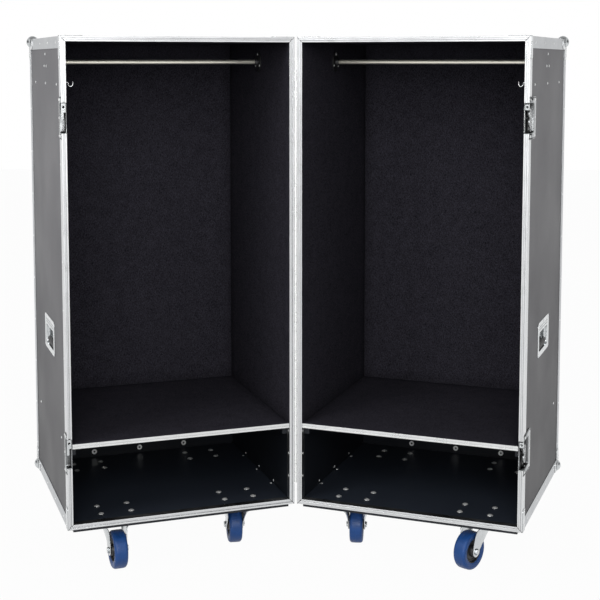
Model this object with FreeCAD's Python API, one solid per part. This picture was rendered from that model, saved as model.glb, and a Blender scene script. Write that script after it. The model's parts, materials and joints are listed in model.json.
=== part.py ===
import FreeCAD
import Part
import math
import os

Vector = FreeCAD.Vector
UP = Vector(0, 0, 1)

# The case stands open like a book: two like halves, joined along one edge by a long hinge.
# Each half is drawn in its own directions, from the hinge pin's line: u across the open face,
# v back from that face, and z up from the underside of its metalwork.
# The right half is then turned, and the left half is its mirror image.

# Driving sizes of one half, over its metalwork
half_width = 608.0
half_depth = 560.0
half_height = 1250.0
opening_angle = 140.0
castor_height = 128.0

# Walls: laminated plywood inside aluminium edge angles
panel_t = 9.0
metal_t = 1.5
edge_leg = 30.0
overrun = 5.0

# Clearances that are used in several places
hinge_gap = 4.0
closing_clear = 0.3
seat_clear = 0.3
turn_clear = 0.06

# Closing frame: the extrusion round the open face
bar_width = 13.0
bar_depth = 5.0
outer_leg = 30.0
inner_leg = 24.0
ridge_inset = 5.0
ridge_width = 3.0
ridge_height = 2.2
groove_clear = 1.0
groove_depth = 3.4

# Carpet lining of the upper compartment
lining_t = 3.0

# Shelf with its trim and battens
shelf_top = 222.0
shelf_t = 12.0
shelf_set_back = 0.7
trim_leg = 15.0
trim_t = 1.2
trim_groove_height = 3.0
trim_groove_depth = 0.6
batten_height = 22.0
batten_width = 15.0

# The rail, the middle hook and the handle sit a little forward of the middle of the depth
fittings_forward = 13.0

# Hanging rail and its flanges
rail_drop = 64.0
rail_radius = 6.0
rail_wall = 1.2
flange_radius = 28.0
flange_t = 2.5
boss_radius = 9.5
boss_length = 9.0
flange_screw_circle = 21.0
flange_screw_count = 3

# Coat hooks on the outer side wall
hook_drop = 120.0
hook_inset_front = 80.0
hook_inset_back = 106.0
hook_plate_width = 13.0
hook_plate_height = 24.0
hook_plate_t = 1.5
hook_wire_radius = 2.0
hook_reach = 16.0
hook_limb = 5.0
hook_bend_radius = 5.75
hook_tip_radius = 2.8

# Castor board and castor plates
board_t = 9.0
board_inset = 14.0
board_front = 8.0
castor_inset_side = 136.0
castor_inset_front = 96.0
castor_inset_back = 92.0
plate_length = 105.0
plate_width = 85.0
plate_t = 3.0
plate_corner = 10.0
bolt_spacing_long = 80.0
bolt_spacing_short = 60.0
bolt_radius = 4.0
bolt_hole_clear = 0.2
bolt_head_radius = 8.0
bolt_head_height = 3.5
nut_radius = 7.5
nut_height = 5.0

# Swivelling fork
race_radius = 31.0
race_height = 8.0
crown_width = 68.0
crown_length = 74.0
crown_corner = 12.0
crown_t = 5.0
kingpin_radius = 6.0
kingpin_head_radius = 10.0
kingpin_head_height = 5.0
castor_trail = 38.0
leg_t = 3.0
leg_foot_radius = 14.0
axle_radius = 5.0
axle_nut_radius = 8.5
axle_nut_height = 5.0

# Wheel
wheel_radius = 50.0
tyre_width = 36.0
tyre_t = 12.0
tyre_shoulder = 8.0
rim_lip = 3.0
rim_dish = 9.0
hub_radius = 15.0
hub_width = 40.0

# Long hinge
hinge_end_gap = 3.0
leaf_t = 1.2
leaf_width = 28.0
knuckle_radius = 3.2
knuckle_pitch = 26.0
knuckle_gap = 0.4
hinge_pin_radius = 1.5
pin_head_height = 1.2

# Ball corners and flat corner braces
ball_radius = 17.5
ball_inset = 8.0
corner_t = 1.2
corner_leg = 60.0
corner_width = 29.0
brace_leg = 57.0
brace_width = 27.0
brace_set_back = 2.0

# Twist latches, one pair on each half of the case
lower_latch_z = 198.0
upper_latch_drop = 202.0
sheet_t = 1.2
latch_recess_height = 74.0
latch_flange_height = 106.0
latch_dish_back = 62.0
latch_flange_back = 88.0
latch_flange_corner = 12.0
keeper_dish_back = 20.0
keeper_flange_back = 34.0
spindle_from_face = 26.0
spindle_radius = 5.0
spindle_foot_radius = 9.0
spindle_foot_height = 1.5
wing_reach = 24.0
wing_width = 30.0
wing_t = 3.0
wing_waist = 7.0
wing_set_in = 1.5
hook_arm_width = 13.0
hook_arm_t = 2.5
hook_arm_lift = 3.0
hook_tooth_radius = 2.2
hook_tooth_height = 5.0
hook_nose_wall = 1.2
keeper_lip_t = 2.0
keeper_lip_low = 14.0
keeper_lip_high = 3.0
keeper_lip_from_face = 1.0
keeper_tooth_clear = 0.5
guide_height = 15.0
guide_depth = 10.0
guide_hole_radius = 3.0
guide_end_gap = 2.0
guide_set_in = 1.0

# Recessed handles
handle_z = 453.0
handle_flange_length = 166.0
handle_flange_height = 94.0
handle_recess_length = 124.0
handle_recess_low = 34.0
handle_recess_high = 18.0
handle_recess_depth = 13.5
bail_axis_above = 10.0
bail_rod_radius = 3.5
bail_pin_radius = 2.5
bail_width = 112.0
bail_drop = 33.0
grip_radius = 5.5
grip_height = 19.0
grip_length = 96.0

# Fixings that show as low domed heads
rivet_radius = 3.6
rivet_height = 1.5
rivet_pitch = 125.0
rivet_from_edge = 15.0
rivet_from_frame_face = 21.0
small_rivet_radius = 2.6
small_rivet_height = 1.1
hinge_rivet_pitch = 52.0
floor_rivet_pitch = 131.5
washer_radius = 7.5
washer_hole_radius = 2.8
washer_t = 1.5
washer_pitch = 137.0
washer_above_floor = 15.5

# Places that follow from the sizes above
wall_inset = metal_t + panel_t
lining_face = wall_inset + lining_t
near = hinge_gap
far = near + half_width
face = closing_clear
back = face + half_depth
top = half_height
middle_u = near + half_width / 2
middle_v = face + half_depth / 2
fittings_v = middle_v - fittings_forward
shelf_low = shelf_top - shelf_t
rail_z = top - rail_drop
hook_z = top - hook_drop
upper_latch_z = top - upper_latch_drop
latch_heights = [lower_latch_z, upper_latch_z]
latch_recess_depth = bar_width - sheet_t
case_lift = castor_height + board_t
turn_in = (180.0 - opening_angle) / 2


def box(u0, u1, v0, v1, z0, z1):
    return Part.makeBox(u1 - u0, v1 - v0, z1 - z0, Vector(u0, v0, z0))


def joined(shapes):
    first = shapes[0]
    if len(shapes) == 1:
        return first
    return first.multiFuse(shapes[1:]).removeSplitter()


def group(shapes):
    solids = []
    for shape in shapes:
        solids.extend(shape.Solids)
    return Part.makeCompound(solids)


def spread(start, end, pitch):
    # Even places from start to end, at about the pitch that is asked for.
    steps = max(1, round((end - start) / pitch))
    return [start + (end - start) * step / steps for step in range(steps + 1)]


def ring(inset_out, inset_in, v0, v1):
    outer = box(near + inset_out, far - inset_out, v0, v1, inset_out, top - inset_out)
    inner = box(near + inset_in, far - inset_in, v0 - overrun, v1 + overrun, inset_in, top - inset_in)
    return outer.cut(inner)


def latch_recess(z, v_back):
    # The block that a latch or keeper dish takes out of the wall, with its own sheet.
    half = latch_recess_height / 2 + sheet_t
    deep = latch_recess_depth + sheet_t
    return box(far - deep, far + overrun, -overrun, v_back + sheet_t, z - half, z + half)


def handle_recess(extra):
    half = handle_recess_length / 2 + extra
    deep = metal_t + handle_recess_depth + extra
    low = handle_z - handle_recess_low - extra
    high = handle_z + handle_recess_high + extra
    return box(far - deep, far + overrun, fittings_v - half, fittings_v + half, low, high)


def dish_depth(side):
    return latch_dish_back if side == "right" else keeper_dish_back


def wall_cuts(side):
    cuts = [latch_recess(z, dish_depth(side)) for z in latch_heights]
    cuts.append(handle_recess(sheet_t))
    return cuts


# Panels

def outer_side_panel(side):
    panel = box(far - wall_inset, far - metal_t, face + bar_depth, back - metal_t, metal_t, top - metal_t)
    return panel.cut(wall_cuts(side))


def hinge_side_panel(side):
    return box(near + metal_t, near + wall_inset, face + bar_depth, back - metal_t, metal_t, top - metal_t)


def back_panel(side):
    return box(near + wall_inset, far - wall_inset, back - wall_inset, back - metal_t, metal_t, top - metal_t)


def top_panel(side):
    return box(near + wall_inset, far - wall_inset, face + bar_depth, back - wall_inset,
               top - wall_inset, top - metal_t)


def castor_places():
    # Swivel axes of one half's four castors, by name.
    hinge_u = near + castor_inset_side
    outer_u = far - castor_inset_side
    front_v = face + castor_inset_front
    rear_v = back - castor_inset_back
    return {
        "front_outer": (outer_u, front_v),
        "front_hinge": (hinge_u, front_v),
        "rear_outer": (outer_u, rear_v),
        "rear_hinge": (hinge_u, rear_v),
    }


def bolt_places():
    places = []
    for u, v in castor_places().values():
        for du in (-bolt_spacing_long / 2, bolt_spacing_long / 2):
            for dv in (-bolt_spacing_short / 2, bolt_spacing_short / 2):
                places.append((u + du, v + dv))
    return places


def bolt_holes():
    low = -board_t - plate_t - overrun
    length = wall_inset + overrun - low
    radius = bolt_radius + bolt_hole_clear
    return [Part.makeCylinder(radius, length, Vector(u, v, low)) for u, v in bolt_places()]


def floor_panel(side):
    panel = box(near + wall_inset, far - wall_inset, face + bar_depth, back - wall_inset, metal_t, wall_inset)
    return panel.cut(bolt_holes())


def board_reliefs():
    # Shallow pockets in the board's top face that take the corner metalwork.
    deep = corner_t + seat_clear
    brace_back = face + brace_set_back + brace_width + seat_clear
    reliefs = []
    for u, way in ((near, 1), (far, -1)):
        for leg_u, leg_v in ((corner_leg, corner_width), (corner_width, corner_leg)):
            ends = sorted([u - way * overrun, u + way * (leg_u + seat_clear)])
            reliefs.append(box(*ends, back - leg_v - seat_clear, back + overrun, -deep, 0))
        ends = sorted([u - way * overrun, u + way * (brace_leg + seat_clear)])
        reliefs.append(box(*ends, -overrun, brace_back, -deep, 0))
        centre = Vector(u + way * ball_inset, back - ball_inset, ball_inset)
        reliefs.append(Part.makeSphere(ball_radius + seat_clear, centre))
    return reliefs


def castor_board(side):
    board = box(near + board_inset, far - board_inset, face + board_front, back - board_inset, -board_t, 0)
    return board.cut(bolt_holes() + board_reliefs())


# Metalwork of the edges

def closing_frame(side):
    bar = ring(0, bar_width, face, face + bar_depth)
    outside = ring(0, metal_t, face, face + outer_leg)
    inside = ring(wall_inset, wall_inset + metal_t, face, face + inner_leg)
    whole = joined([bar, outside, inside])
    if side == "right":
        ridge = ring(ridge_inset, ridge_inset + ridge_width, face - ridge_height, face)
        whole = joined([whole, ridge])
    else:
        groove = ring(ridge_inset - groove_clear, ridge_inset + ridge_width + groove_clear,
                      face - overrun, face + groove_depth)
        whole = whole.cut(groove)
    whole = whole.cut([latch_recess(z, dish_depth(side)) for z in latch_heights])
    return group([whole.common(mitre) for mitre in mitres()])


def mitres():
    # Four wedges that cut a ring into lengths with mitred ends.
    outer = [(near, 0), (far, 0), (far, top), (near, top)]
    m = bar_width
    inner = [(near + m, m), (far - m, m), (far - m, top - m), (near + m, top - m)]
    start = face - ridge_height - overrun
    length = outer_leg + ridge_height + 2 * overrun
    wedges = []
    for side in range(4):
        following = (side + 1) % 4
        corners = [outer[side], outer[following], inner[following], inner[side], outer[side]]
        outline = Part.makePolygon([Vector(u, start, z) for u, z in corners])
        wedges.append(Part.Face(outline).extrude(Vector(0, length, 0)))
    return wedges


def edge_angles(side):
    leg = edge_leg
    t = metal_t
    front = face + outer_leg + seat_clear
    angles = []
    for u0, u1, plate0, plate1 in ((near, near + leg, near, near + t), (far - leg, far, far - t, far)):
        upright = box(plate0, plate1, back - leg, back, leg, top - leg)
        return_leg = box(u0, u1, back - t, back, leg, top - leg)
        angles.append(joined([upright, return_leg]))
        for z0, z1, flat0, flat1 in ((0, leg, 0, t), (top - leg, top, top - t, top)):
            standing = box(plate0, plate1, front, back, z0, z1)
            lying = box(u0, u1, front, back, flat0, flat1)
            angles.append(joined([standing, lying]))
    for z0, z1, flat0, flat1 in ((0, leg, 0, t), (top - leg, top, top - t, top)):
        standing = box(near + leg, far - leg, back - t, back, z0, z1)
        lying = box(near + leg, far - leg, back - leg, back, flat0, flat1)
        angles.append(joined([standing, lying]))
    return group(angles)


def case_block():
    return box(near, far, face, back, 0, top)


def corner_bars(corner, inward, lengths, widths):
    # Square bars along the three edges that meet at a corner, each a little outside the case.
    u, v, z = corner
    du, dv, dz = inward
    bars = []
    for along in range(3):
        sizes = [widths[axis] for axis in range(3)]
        sizes[along] = lengths[along]
        ends = []
        for place, way, size in zip((u, v, z), (du, dv, dz), sizes):
            first = place - way * corner_t
            last = place + way * size
            ends.append((min(first, last), max(first, last)))
        bars.append(box(*ends[0], *ends[1], *ends[2]))
    return bars


def ball_corner(u, z):
    du = 1 if u == near else -1
    dz = 1 if z == 0 else -1
    bars = corner_bars((u, back, z), (du, -1, dz), [corner_leg] * 3, [corner_width] * 3)
    centre = Vector(u + du * ball_inset, back - ball_inset, z + dz * ball_inset)
    ball = Part.makeSphere(ball_radius, centre)
    return joined(bars + [ball]).cut(case_block())


def corner_brace(u, z):
    # Wraps the outside of a mitred corner behind the closing face.
    du = 1 if u == near else -1
    dz = 1 if z == 0 else -1
    v0 = face + brace_set_back
    v1 = v0 + brace_width
    ends_u = sorted([u - du * corner_t, u + du * brace_leg])
    ends_z = sorted([z - dz * corner_t, z + dz * brace_leg])
    return box(*ends_u, v0, v1, *ends_z).cut(case_block())


def corner_fittings(side):
    fittings = []
    for u in (near, far):
        for z in (0, top):
            fittings.append(ball_corner(u, z))
            fittings.append(corner_brace(u, z))
    return group(fittings)


# Inside of the case

def lining(side):
    low = shelf_low
    high = top - wall_inset
    leg_inset = wall_inset + metal_t
    front = face + bar_depth
    behind = face + inner_leg
    rear = back - wall_inset
    hinge_sheet = joined([
        box(near + wall_inset, near + lining_face, behind, rear, low, high),
        box(near + leg_inset, near + lining_face, front, behind, low, high - metal_t),
    ])
    outer_sheet = joined([
        box(far - lining_face, far - wall_inset, behind, rear, low, high),
        box(far - lining_face, far - leg_inset, front, behind, low, high - metal_t),
    ]).cut(wall_cuts(side))
    back_sheet = box(near + lining_face, far - lining_face, back - lining_face, rear, low, high)
    top_sheet = joined([
        box(near + lining_face, far - lining_face, behind, back - lining_face, top - lining_face, high),
        box(near + lining_face, far - lining_face, front, behind, top - lining_face, high - metal_t),
    ])
    return group([hinge_sheet, outer_sheet, back_sheet, top_sheet, shelf_sheet(side)])


def shelf_sheet(side):
    # Covers the shelf up to the front face of its trim.
    inset = lining_face + seat_clear
    start = face + shelf_set_back + trim_t
    sheet = box(near + inset, far - inset, start, back - inset, shelf_top, shelf_top + lining_t)
    return sheet.cut(wall_cuts(side))


def shelf_trim_envelope():
    v0 = face + shelf_set_back
    inset = lining_face + seat_clear
    return box(near + inset, far - inset, v0, v0 + trim_leg, shelf_low, shelf_top)


def shelf_tongue():
    # The board's thinned front edge, which fills the trim.
    v0 = face + shelf_set_back
    inset = lining_face + seat_clear
    low = shelf_low + trim_t
    high = shelf_top - trim_t
    return box(near + inset, far - inset, v0 + trim_t, v0 + trim_leg, low, high)


def shelf_trim(side):
    v0 = face + shelf_set_back
    inset = lining_face + seat_clear
    middle = (shelf_low + shelf_top) / 2
    low = middle - trim_groove_height / 2
    high = middle + trim_groove_height / 2
    groove = box(near + inset, far - inset, v0 - overrun, v0 + trim_groove_depth, low, high)
    return shelf_trim_envelope().cut([shelf_tongue(), groove] + wall_cuts(side))


def shelf(side):
    v0 = face + shelf_set_back
    inset = lining_face + seat_clear
    whole = box(near + inset, far - inset, v0, back - inset, shelf_low, shelf_top)
    board = joined([whole.cut(shelf_trim_envelope()), shelf_tongue()])
    low = shelf_low - batten_height
    front = face + inner_leg + seat_clear
    rear = back - wall_inset
    battens = [
        box(near + wall_inset, near + wall_inset + batten_width, front, rear, low, shelf_low),
        box(far - wall_inset - batten_width, far - wall_inset, front, rear, low, shelf_low),
        box(near + wall_inset + batten_width, far - wall_inset - batten_width,
            rear - batten_width, rear, low, shelf_low),
    ]
    return group([piece.cut(wall_cuts(side)) for piece in [board] + battens])


def hanging_rail(side):
    start = near + lining_face
    end = far - lining_face
    tube_start = start + flange_t
    tube_length = end - start - 2 * flange_t
    tube = Part.makeCylinder(rail_radius, tube_length, Vector(tube_start, fittings_v, rail_z), Vector(1, 0, 0))
    bore = Part.makeCylinder(rail_radius - rail_wall, tube_length + 2 * overrun,
                             Vector(tube_start - overrun, fittings_v, rail_z), Vector(1, 0, 0))
    pieces = [tube.cut(bore)]
    for u, way in ((start, 1), (end, -1)):
        origin = Vector(u, fittings_v, rail_z)
        axis = Vector(way, 0, 0)
        plate = Part.makeCylinder(flange_radius, flange_t, origin, axis)
        boss = Part.makeCylinder(boss_radius, boss_length, origin, axis)
        tube_end = Vector(u + way * flange_t, fittings_v, rail_z)
        socket = Part.makeCylinder(rail_radius, boss_length, tube_end, axis)
        pieces.append(joined([plate, boss]).cut(socket))
    return group(pieces)


def hook_places():
    return [face + hook_inset_front, fittings_v, back - hook_inset_back]


def hook_bend_z():
    # The hook's whole height is centred on its line.
    return hook_z + (hook_bend_radius - hook_limb) / 2


def coat_hooks(side):
    # A small plate with a wire that comes out of the wall, goes down, and turns up to a round tip.
    wall = far - lining_face
    bend_z = hook_bend_z()
    stem_z = bend_z + hook_limb
    inner_u = wall - hook_plate_t - hook_reach
    outer_u = inner_u - 2 * hook_bend_radius
    hooks = []
    for v in hook_places():
        plate = box(wall - hook_plate_t, wall, v - hook_plate_width / 2, v + hook_plate_width / 2,
                    hook_z - hook_plate_height / 2, hook_z + hook_plate_height / 2)
        stem_start = Vector(wall - hook_plate_t, v, stem_z)
        stem = Part.makeCylinder(hook_wire_radius, hook_reach, stem_start, Vector(-1, 0, 0))
        elbow = Part.makeSphere(hook_wire_radius, Vector(inner_u, v, stem_z))
        inner_limb = Part.makeCylinder(hook_wire_radius, hook_limb, Vector(inner_u, v, bend_z), UP)
        section = Part.Face(Part.Wire(Part.makeCircle(hook_wire_radius, Vector(inner_u, v, bend_z), UP)))
        bend_centre = Vector((inner_u + outer_u) / 2, v, bend_z)
        bend = section.revolve(bend_centre, Vector(0, 1, 0), 180)
        outer_limb = Part.makeCylinder(hook_wire_radius, hook_limb, Vector(outer_u, v, bend_z), UP)
        tip = Part.makeSphere(hook_tip_radius, Vector(outer_u, v, stem_z))
        hooks.append(joined([plate, stem, elbow, inner_limb, bend, outer_limb, tip]))
    return group(hooks)


# Handle on the outer side

def handle_dish(side):
    half_length = handle_flange_length / 2
    half_height_of_flange = handle_flange_height / 2
    flange = box(far - metal_t, far - metal_t + sheet_t, fittings_v - half_length, fittings_v + half_length,
                 handle_z - half_height_of_flange, handle_z + half_height_of_flange)
    half = handle_recess_length / 2 + sheet_t
    deep = metal_t + handle_recess_depth + sheet_t
    pocket = box(far - deep, far - metal_t, fittings_v - half, fittings_v + half,
                 handle_z - handle_recess_low - sheet_t, handle_z + handle_recess_high + sheet_t)
    return joined([flange, pocket]).cut([handle_recess(0), bail_pin_bore()])


def bail_axis():
    # The bail's pins lie along v, half way into the recess.
    return Vector(far - metal_t - handle_recess_depth / 2, fittings_v, handle_z + bail_axis_above)


def bail_pin_length():
    return handle_recess_length + 2 * (sheet_t - seat_clear)


def bail_pin_bore():
    centre = bail_axis()
    length = bail_pin_length() + 2 * overrun
    start = Vector(centre.x, centre.y - length / 2, centre.z)
    return Part.makeCylinder(bail_pin_radius + turn_clear, length, start, Vector(0, 1, 0))


def handle_bail(side):
    centre = bail_axis()
    length = bail_pin_length()
    pieces = []
    for way in (-1, 1):
        v = centre.y + way * bail_width / 2
        pin_end = centre.y + way * length / 2
        pin_start = min(v, pin_end)
        pin_place = Vector(centre.x, pin_start, centre.z)
        pin = Part.makeCylinder(bail_pin_radius, abs(pin_end - v), pin_place, Vector(0, 1, 0))
        knuckle = Part.makeSphere(bail_rod_radius, Vector(centre.x, v, centre.z))
        arm = Part.makeCylinder(bail_rod_radius, bail_drop, Vector(centre.x, v, centre.z - bail_drop), UP)
        elbow = Part.makeSphere(bail_rod_radius, Vector(centre.x, v, centre.z - bail_drop))
        pieces.extend([pin, knuckle, arm, elbow])
    low = centre.z - bail_drop
    rod_start = Vector(centre.x, centre.y - bail_width / 2, low)
    pieces.append(Part.makeCylinder(bail_rod_radius, bail_width, rod_start, Vector(0, 1, 0)))
    # The grip is moulded round the low rod, flat on both sides and round above and below.
    grip_v = centre.y - grip_length / 2
    rise = grip_height / 2 - grip_radius
    for level in (low - rise, low + rise):
        grip_start = Vector(centre.x, grip_v, level)
        pieces.append(Part.makeCylinder(grip_radius, grip_length, grip_start, Vector(0, 1, 0)))
    pieces.append(box(centre.x - grip_radius, centre.x + grip_radius, grip_v, grip_v + grip_length,
                      low - rise, low + rise))
    return joined(pieces)


# Latches

def latch_dish(z, dish_back, flange_back):
    half = latch_recess_height / 2
    shell = box(far - latch_recess_depth - sheet_t, far, face, dish_back + sheet_t,
                z - half - sheet_t, z + half + sheet_t)
    flange = box(far, far + sheet_t, face, flange_back,
                 z - latch_flange_height / 2, z + latch_flange_height / 2)
    corners = [e for e in flange.Edges if e.BoundBox.YMin > face and e.BoundBox.ZLength < sheet_t / 2
               and e.BoundBox.XLength > sheet_t / 2]
    flange = flange.makeFillet(latch_flange_corner, corners)
    hollow = box(far - latch_recess_depth, far + overrun, -overrun, dish_back, z - half, z + half)
    return joined([shell, flange]).cut(hollow)


def guide_level(z):
    # Middle of the guide hole, near the top of the dish.
    return z + latch_recess_height / 2 - guide_end_gap - guide_height / 2


def guide_hole(z):
    place = Vector(far - latch_recess_depth / 2, -overrun, guide_level(z))
    return Part.makeCylinder(guide_hole_radius, guide_depth + 2 * overrun, place, Vector(0, 1, 0))


def guide_block(z):
    # Square block on the dish's floor, with the round hole that the halves are lined up by.
    v0 = face + keeper_lip_from_face
    low = guide_level(z) - guide_height / 2
    block = box(far - latch_recess_depth, far - guide_set_in, v0, v0 + guide_depth, low, low + guide_height)
    return block.cut(guide_hole(z))


def keeper_lip(z):
    # The lip that the latch hook's tooth pulls against, with a foot on the dish.
    v0 = face + keeper_lip_from_face
    v1 = v0 + keeper_lip_t
    deep = far - latch_recess_depth
    arm_face = deep + hook_arm_lift + hook_arm_t + seat_clear
    high = z + latch_recess_height / 2
    lip = box(arm_face, far, v0, v1, z - keeper_lip_high, high)
    step = box(deep, arm_face, v0, v1, z + keeper_lip_low, high)
    return joined([lip, step]).cut(guide_hole(z))


def latch_dishes(side):
    dishes = []
    for z in latch_heights:
        if side == "right":
            pieces = [latch_dish(z, latch_dish_back, latch_flange_back), guide_block(z)]
        else:
            pieces = [latch_dish(z, keeper_dish_back, keeper_flange_back), keeper_lip(z)]
        dishes.append(joined(pieces))
    return group(dishes)


def spindle_place(z):
    return Vector(far - latch_recess_depth + seat_clear, spindle_from_face, z)


def latch_wing(z):
    # Spindle with a butterfly of two rounded wings that lies flat in the dish.
    foot = spindle_place(z)
    out = Vector(1, 0, 0)
    length = latch_recess_depth - seat_clear - wing_set_in
    pieces = [
        Part.makeCylinder(spindle_foot_radius, spindle_foot_height, foot, out),
        Part.makeCylinder(spindle_radius, length, foot, out),
    ]
    wing_u = far - wing_set_in - wing_t
    centre = Vector(wing_u, foot.y, z)
    disc = Part.makeCylinder(wing_reach, wing_t, centre, out)
    strip = box(wing_u, wing_u + wing_t, foot.y - wing_width / 2, foot.y + wing_width / 2,
                z - wing_reach, z + wing_reach)
    wings = disc.common(strip)
    waist_offset = wing_width / 2 + wing_waist / 2
    for way in (-1, 1):
        notch = Vector(wing_u, foot.y + way * waist_offset, z)
        wings = wings.cut(Part.makeCylinder(wing_waist, wing_t, notch, out))
    pieces.append(wings)
    return joined(pieces)


def hook_tooth_distance():
    # From the spindle to the tooth, which stands just behind the keeper's lip when the latch is shut.
    past_lip = face + keeper_lip_from_face + keeper_lip_t + keeper_tooth_clear + hook_tooth_radius
    return spindle_from_face + past_lip


def latch_hook(z):
    # Flat arm keyed to the spindle, pointing down when the latch is open, with a tooth at its end.
    foot = spindle_place(z)
    out = Vector(1, 0, 0)
    arm_u = far - latch_recess_depth + hook_arm_lift
    start = Vector(arm_u, foot.y, z)
    half = hook_arm_width / 2
    end_radius = hook_tooth_radius + hook_nose_wall
    nose_z = z - hook_tooth_distance()
    outline = Part.Wire(Part.makePolygon([
        Vector(arm_u, foot.y - half, z),
        Vector(arm_u, foot.y - end_radius, nose_z),
        Vector(arm_u, foot.y + end_radius, nose_z),
        Vector(arm_u, foot.y + half, z),
        Vector(arm_u, foot.y - half, z),
    ]))
    blade = Part.Face(outline).extrude(Vector(hook_arm_t, 0, 0))
    eye = Part.makeCylinder(half, hook_arm_t, start, out)
    nose_place = Vector(arm_u, foot.y, nose_z)
    nose = Part.makeCylinder(end_radius, hook_arm_t, nose_place, out)
    tooth = Part.makeCylinder(hook_tooth_radius, hook_arm_t + hook_tooth_height, nose_place, out)
    spindle_hole = Part.makeCylinder(spindle_radius, hook_arm_t, start, out)
    return joined([blade, eye, nose, tooth]).cut(spindle_hole)


# Hinge

def hinge_run():
    return brace_leg + hinge_end_gap, top - brace_leg - hinge_end_gap


def hinge_leaf(side):
    low, high = hinge_run()
    count = 2 * max(1, round((high - low) / (2 * knuckle_pitch)))
    pitch = (high - low) / count
    plate_start = knuckle_radius + seat_clear
    pieces = [box(near - leaf_t, near, plate_start, leaf_width, low, high)]
    first = 0 if side == "left" else 1
    for index in range(first, count, 2):
        z = low + index * pitch + knuckle_gap / 2
        length = pitch - knuckle_gap
        pieces.append(Part.makeCylinder(knuckle_radius, length, Vector(0, 0, z)))
        pieces.append(box(near - leaf_t, near, 0, plate_start, z, z + length))
        pieces.append(box(0, near - leaf_t, knuckle_radius - leaf_t, knuckle_radius, z, z + length))
        pieces.append(box(near - leaf_t, near, 0, knuckle_radius, z, z + length))
    bore_start = Vector(0, 0, low - overrun)
    bore = Part.makeCylinder(hinge_pin_radius + turn_clear, high - low + 2 * overrun, bore_start)
    leaf = joined(pieces).cut(bore)
    if side == "right":
        return leaf
    pin = Part.makeCylinder(hinge_pin_radius, high - low, Vector(0, 0, low))
    heads = [
        Part.makeCylinder(knuckle_radius, pin_head_height, Vector(0, 0, low - pin_head_height)),
        Part.makeCylinder(knuckle_radius, pin_head_height, Vector(0, 0, high)),
    ]
    return group([leaf, joined([pin] + heads)])


# Castors

def castor_plates(side):
    # Plate with its fixed race and kingpin, and the bolts up through the floor.
    pieces = []
    low = -board_t - plate_t
    race_low = low - race_height
    crown_low = race_low - seat_clear - crown_t
    for u, v in castor_places().values():
        plate = box(u - plate_length / 2, u + plate_length / 2, v - plate_width / 2, v + plate_width / 2,
                    low, -board_t)
        upright_edges = [e for e in plate.Edges if abs(e.Vertexes[0].Z - e.Vertexes[1].Z) > plate_t / 2]
        plate = plate.makeFillet(plate_corner, upright_edges)
        race = Part.makeCylinder(race_radius, race_height, Vector(u, v, race_low))
        pin_length = race_low - crown_low + seat_clear
        pin = Part.makeCylinder(kingpin_radius, pin_length, Vector(u, v, crown_low - seat_clear))
        head_low = crown_low - seat_clear - kingpin_head_height
        head = Part.makeCylinder(kingpin_head_radius, kingpin_head_height, Vector(u, v, head_low))
        pieces.append(joined([plate, race, pin, head]).cut(bolt_holes()))
    for u, v in bolt_places():
        shank_low = low - nut_height
        shank = Part.makeCylinder(bolt_radius, wall_inset - shank_low, Vector(u, v, shank_low))
        centre = Vector(u, v, wall_inset + bolt_head_height - bolt_dome_radius())
        head = Part.makeSphere(bolt_dome_radius(), centre)
        head = head.common(Part.makeCylinder(bolt_head_radius, bolt_head_height, Vector(u, v, wall_inset)))
        nut = prism(nut_radius, 6, nut_height, Vector(u, v, shank_low))
        pieces.append(joined([shank, head, nut]))
    return group(pieces)


def bolt_dome_radius():
    return dome_radius(bolt_head_radius, bolt_head_height)


def dome_radius(base_radius, height):
    return (base_radius ** 2 + height ** 2) / (2 * height)


def prism(radius, sides, height, base):
    points = []
    for corner in range(sides + 1):
        turn = 2 * math.pi * corner / sides
        points.append(base + Vector(radius * math.cos(turn), radius * math.sin(turn), 0))
    return Part.Face(Part.makePolygon(points)).extrude(Vector(0, 0, height))


def crown_low_height():
    return castor_height - plate_t - race_height - seat_clear - crown_t


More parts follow.
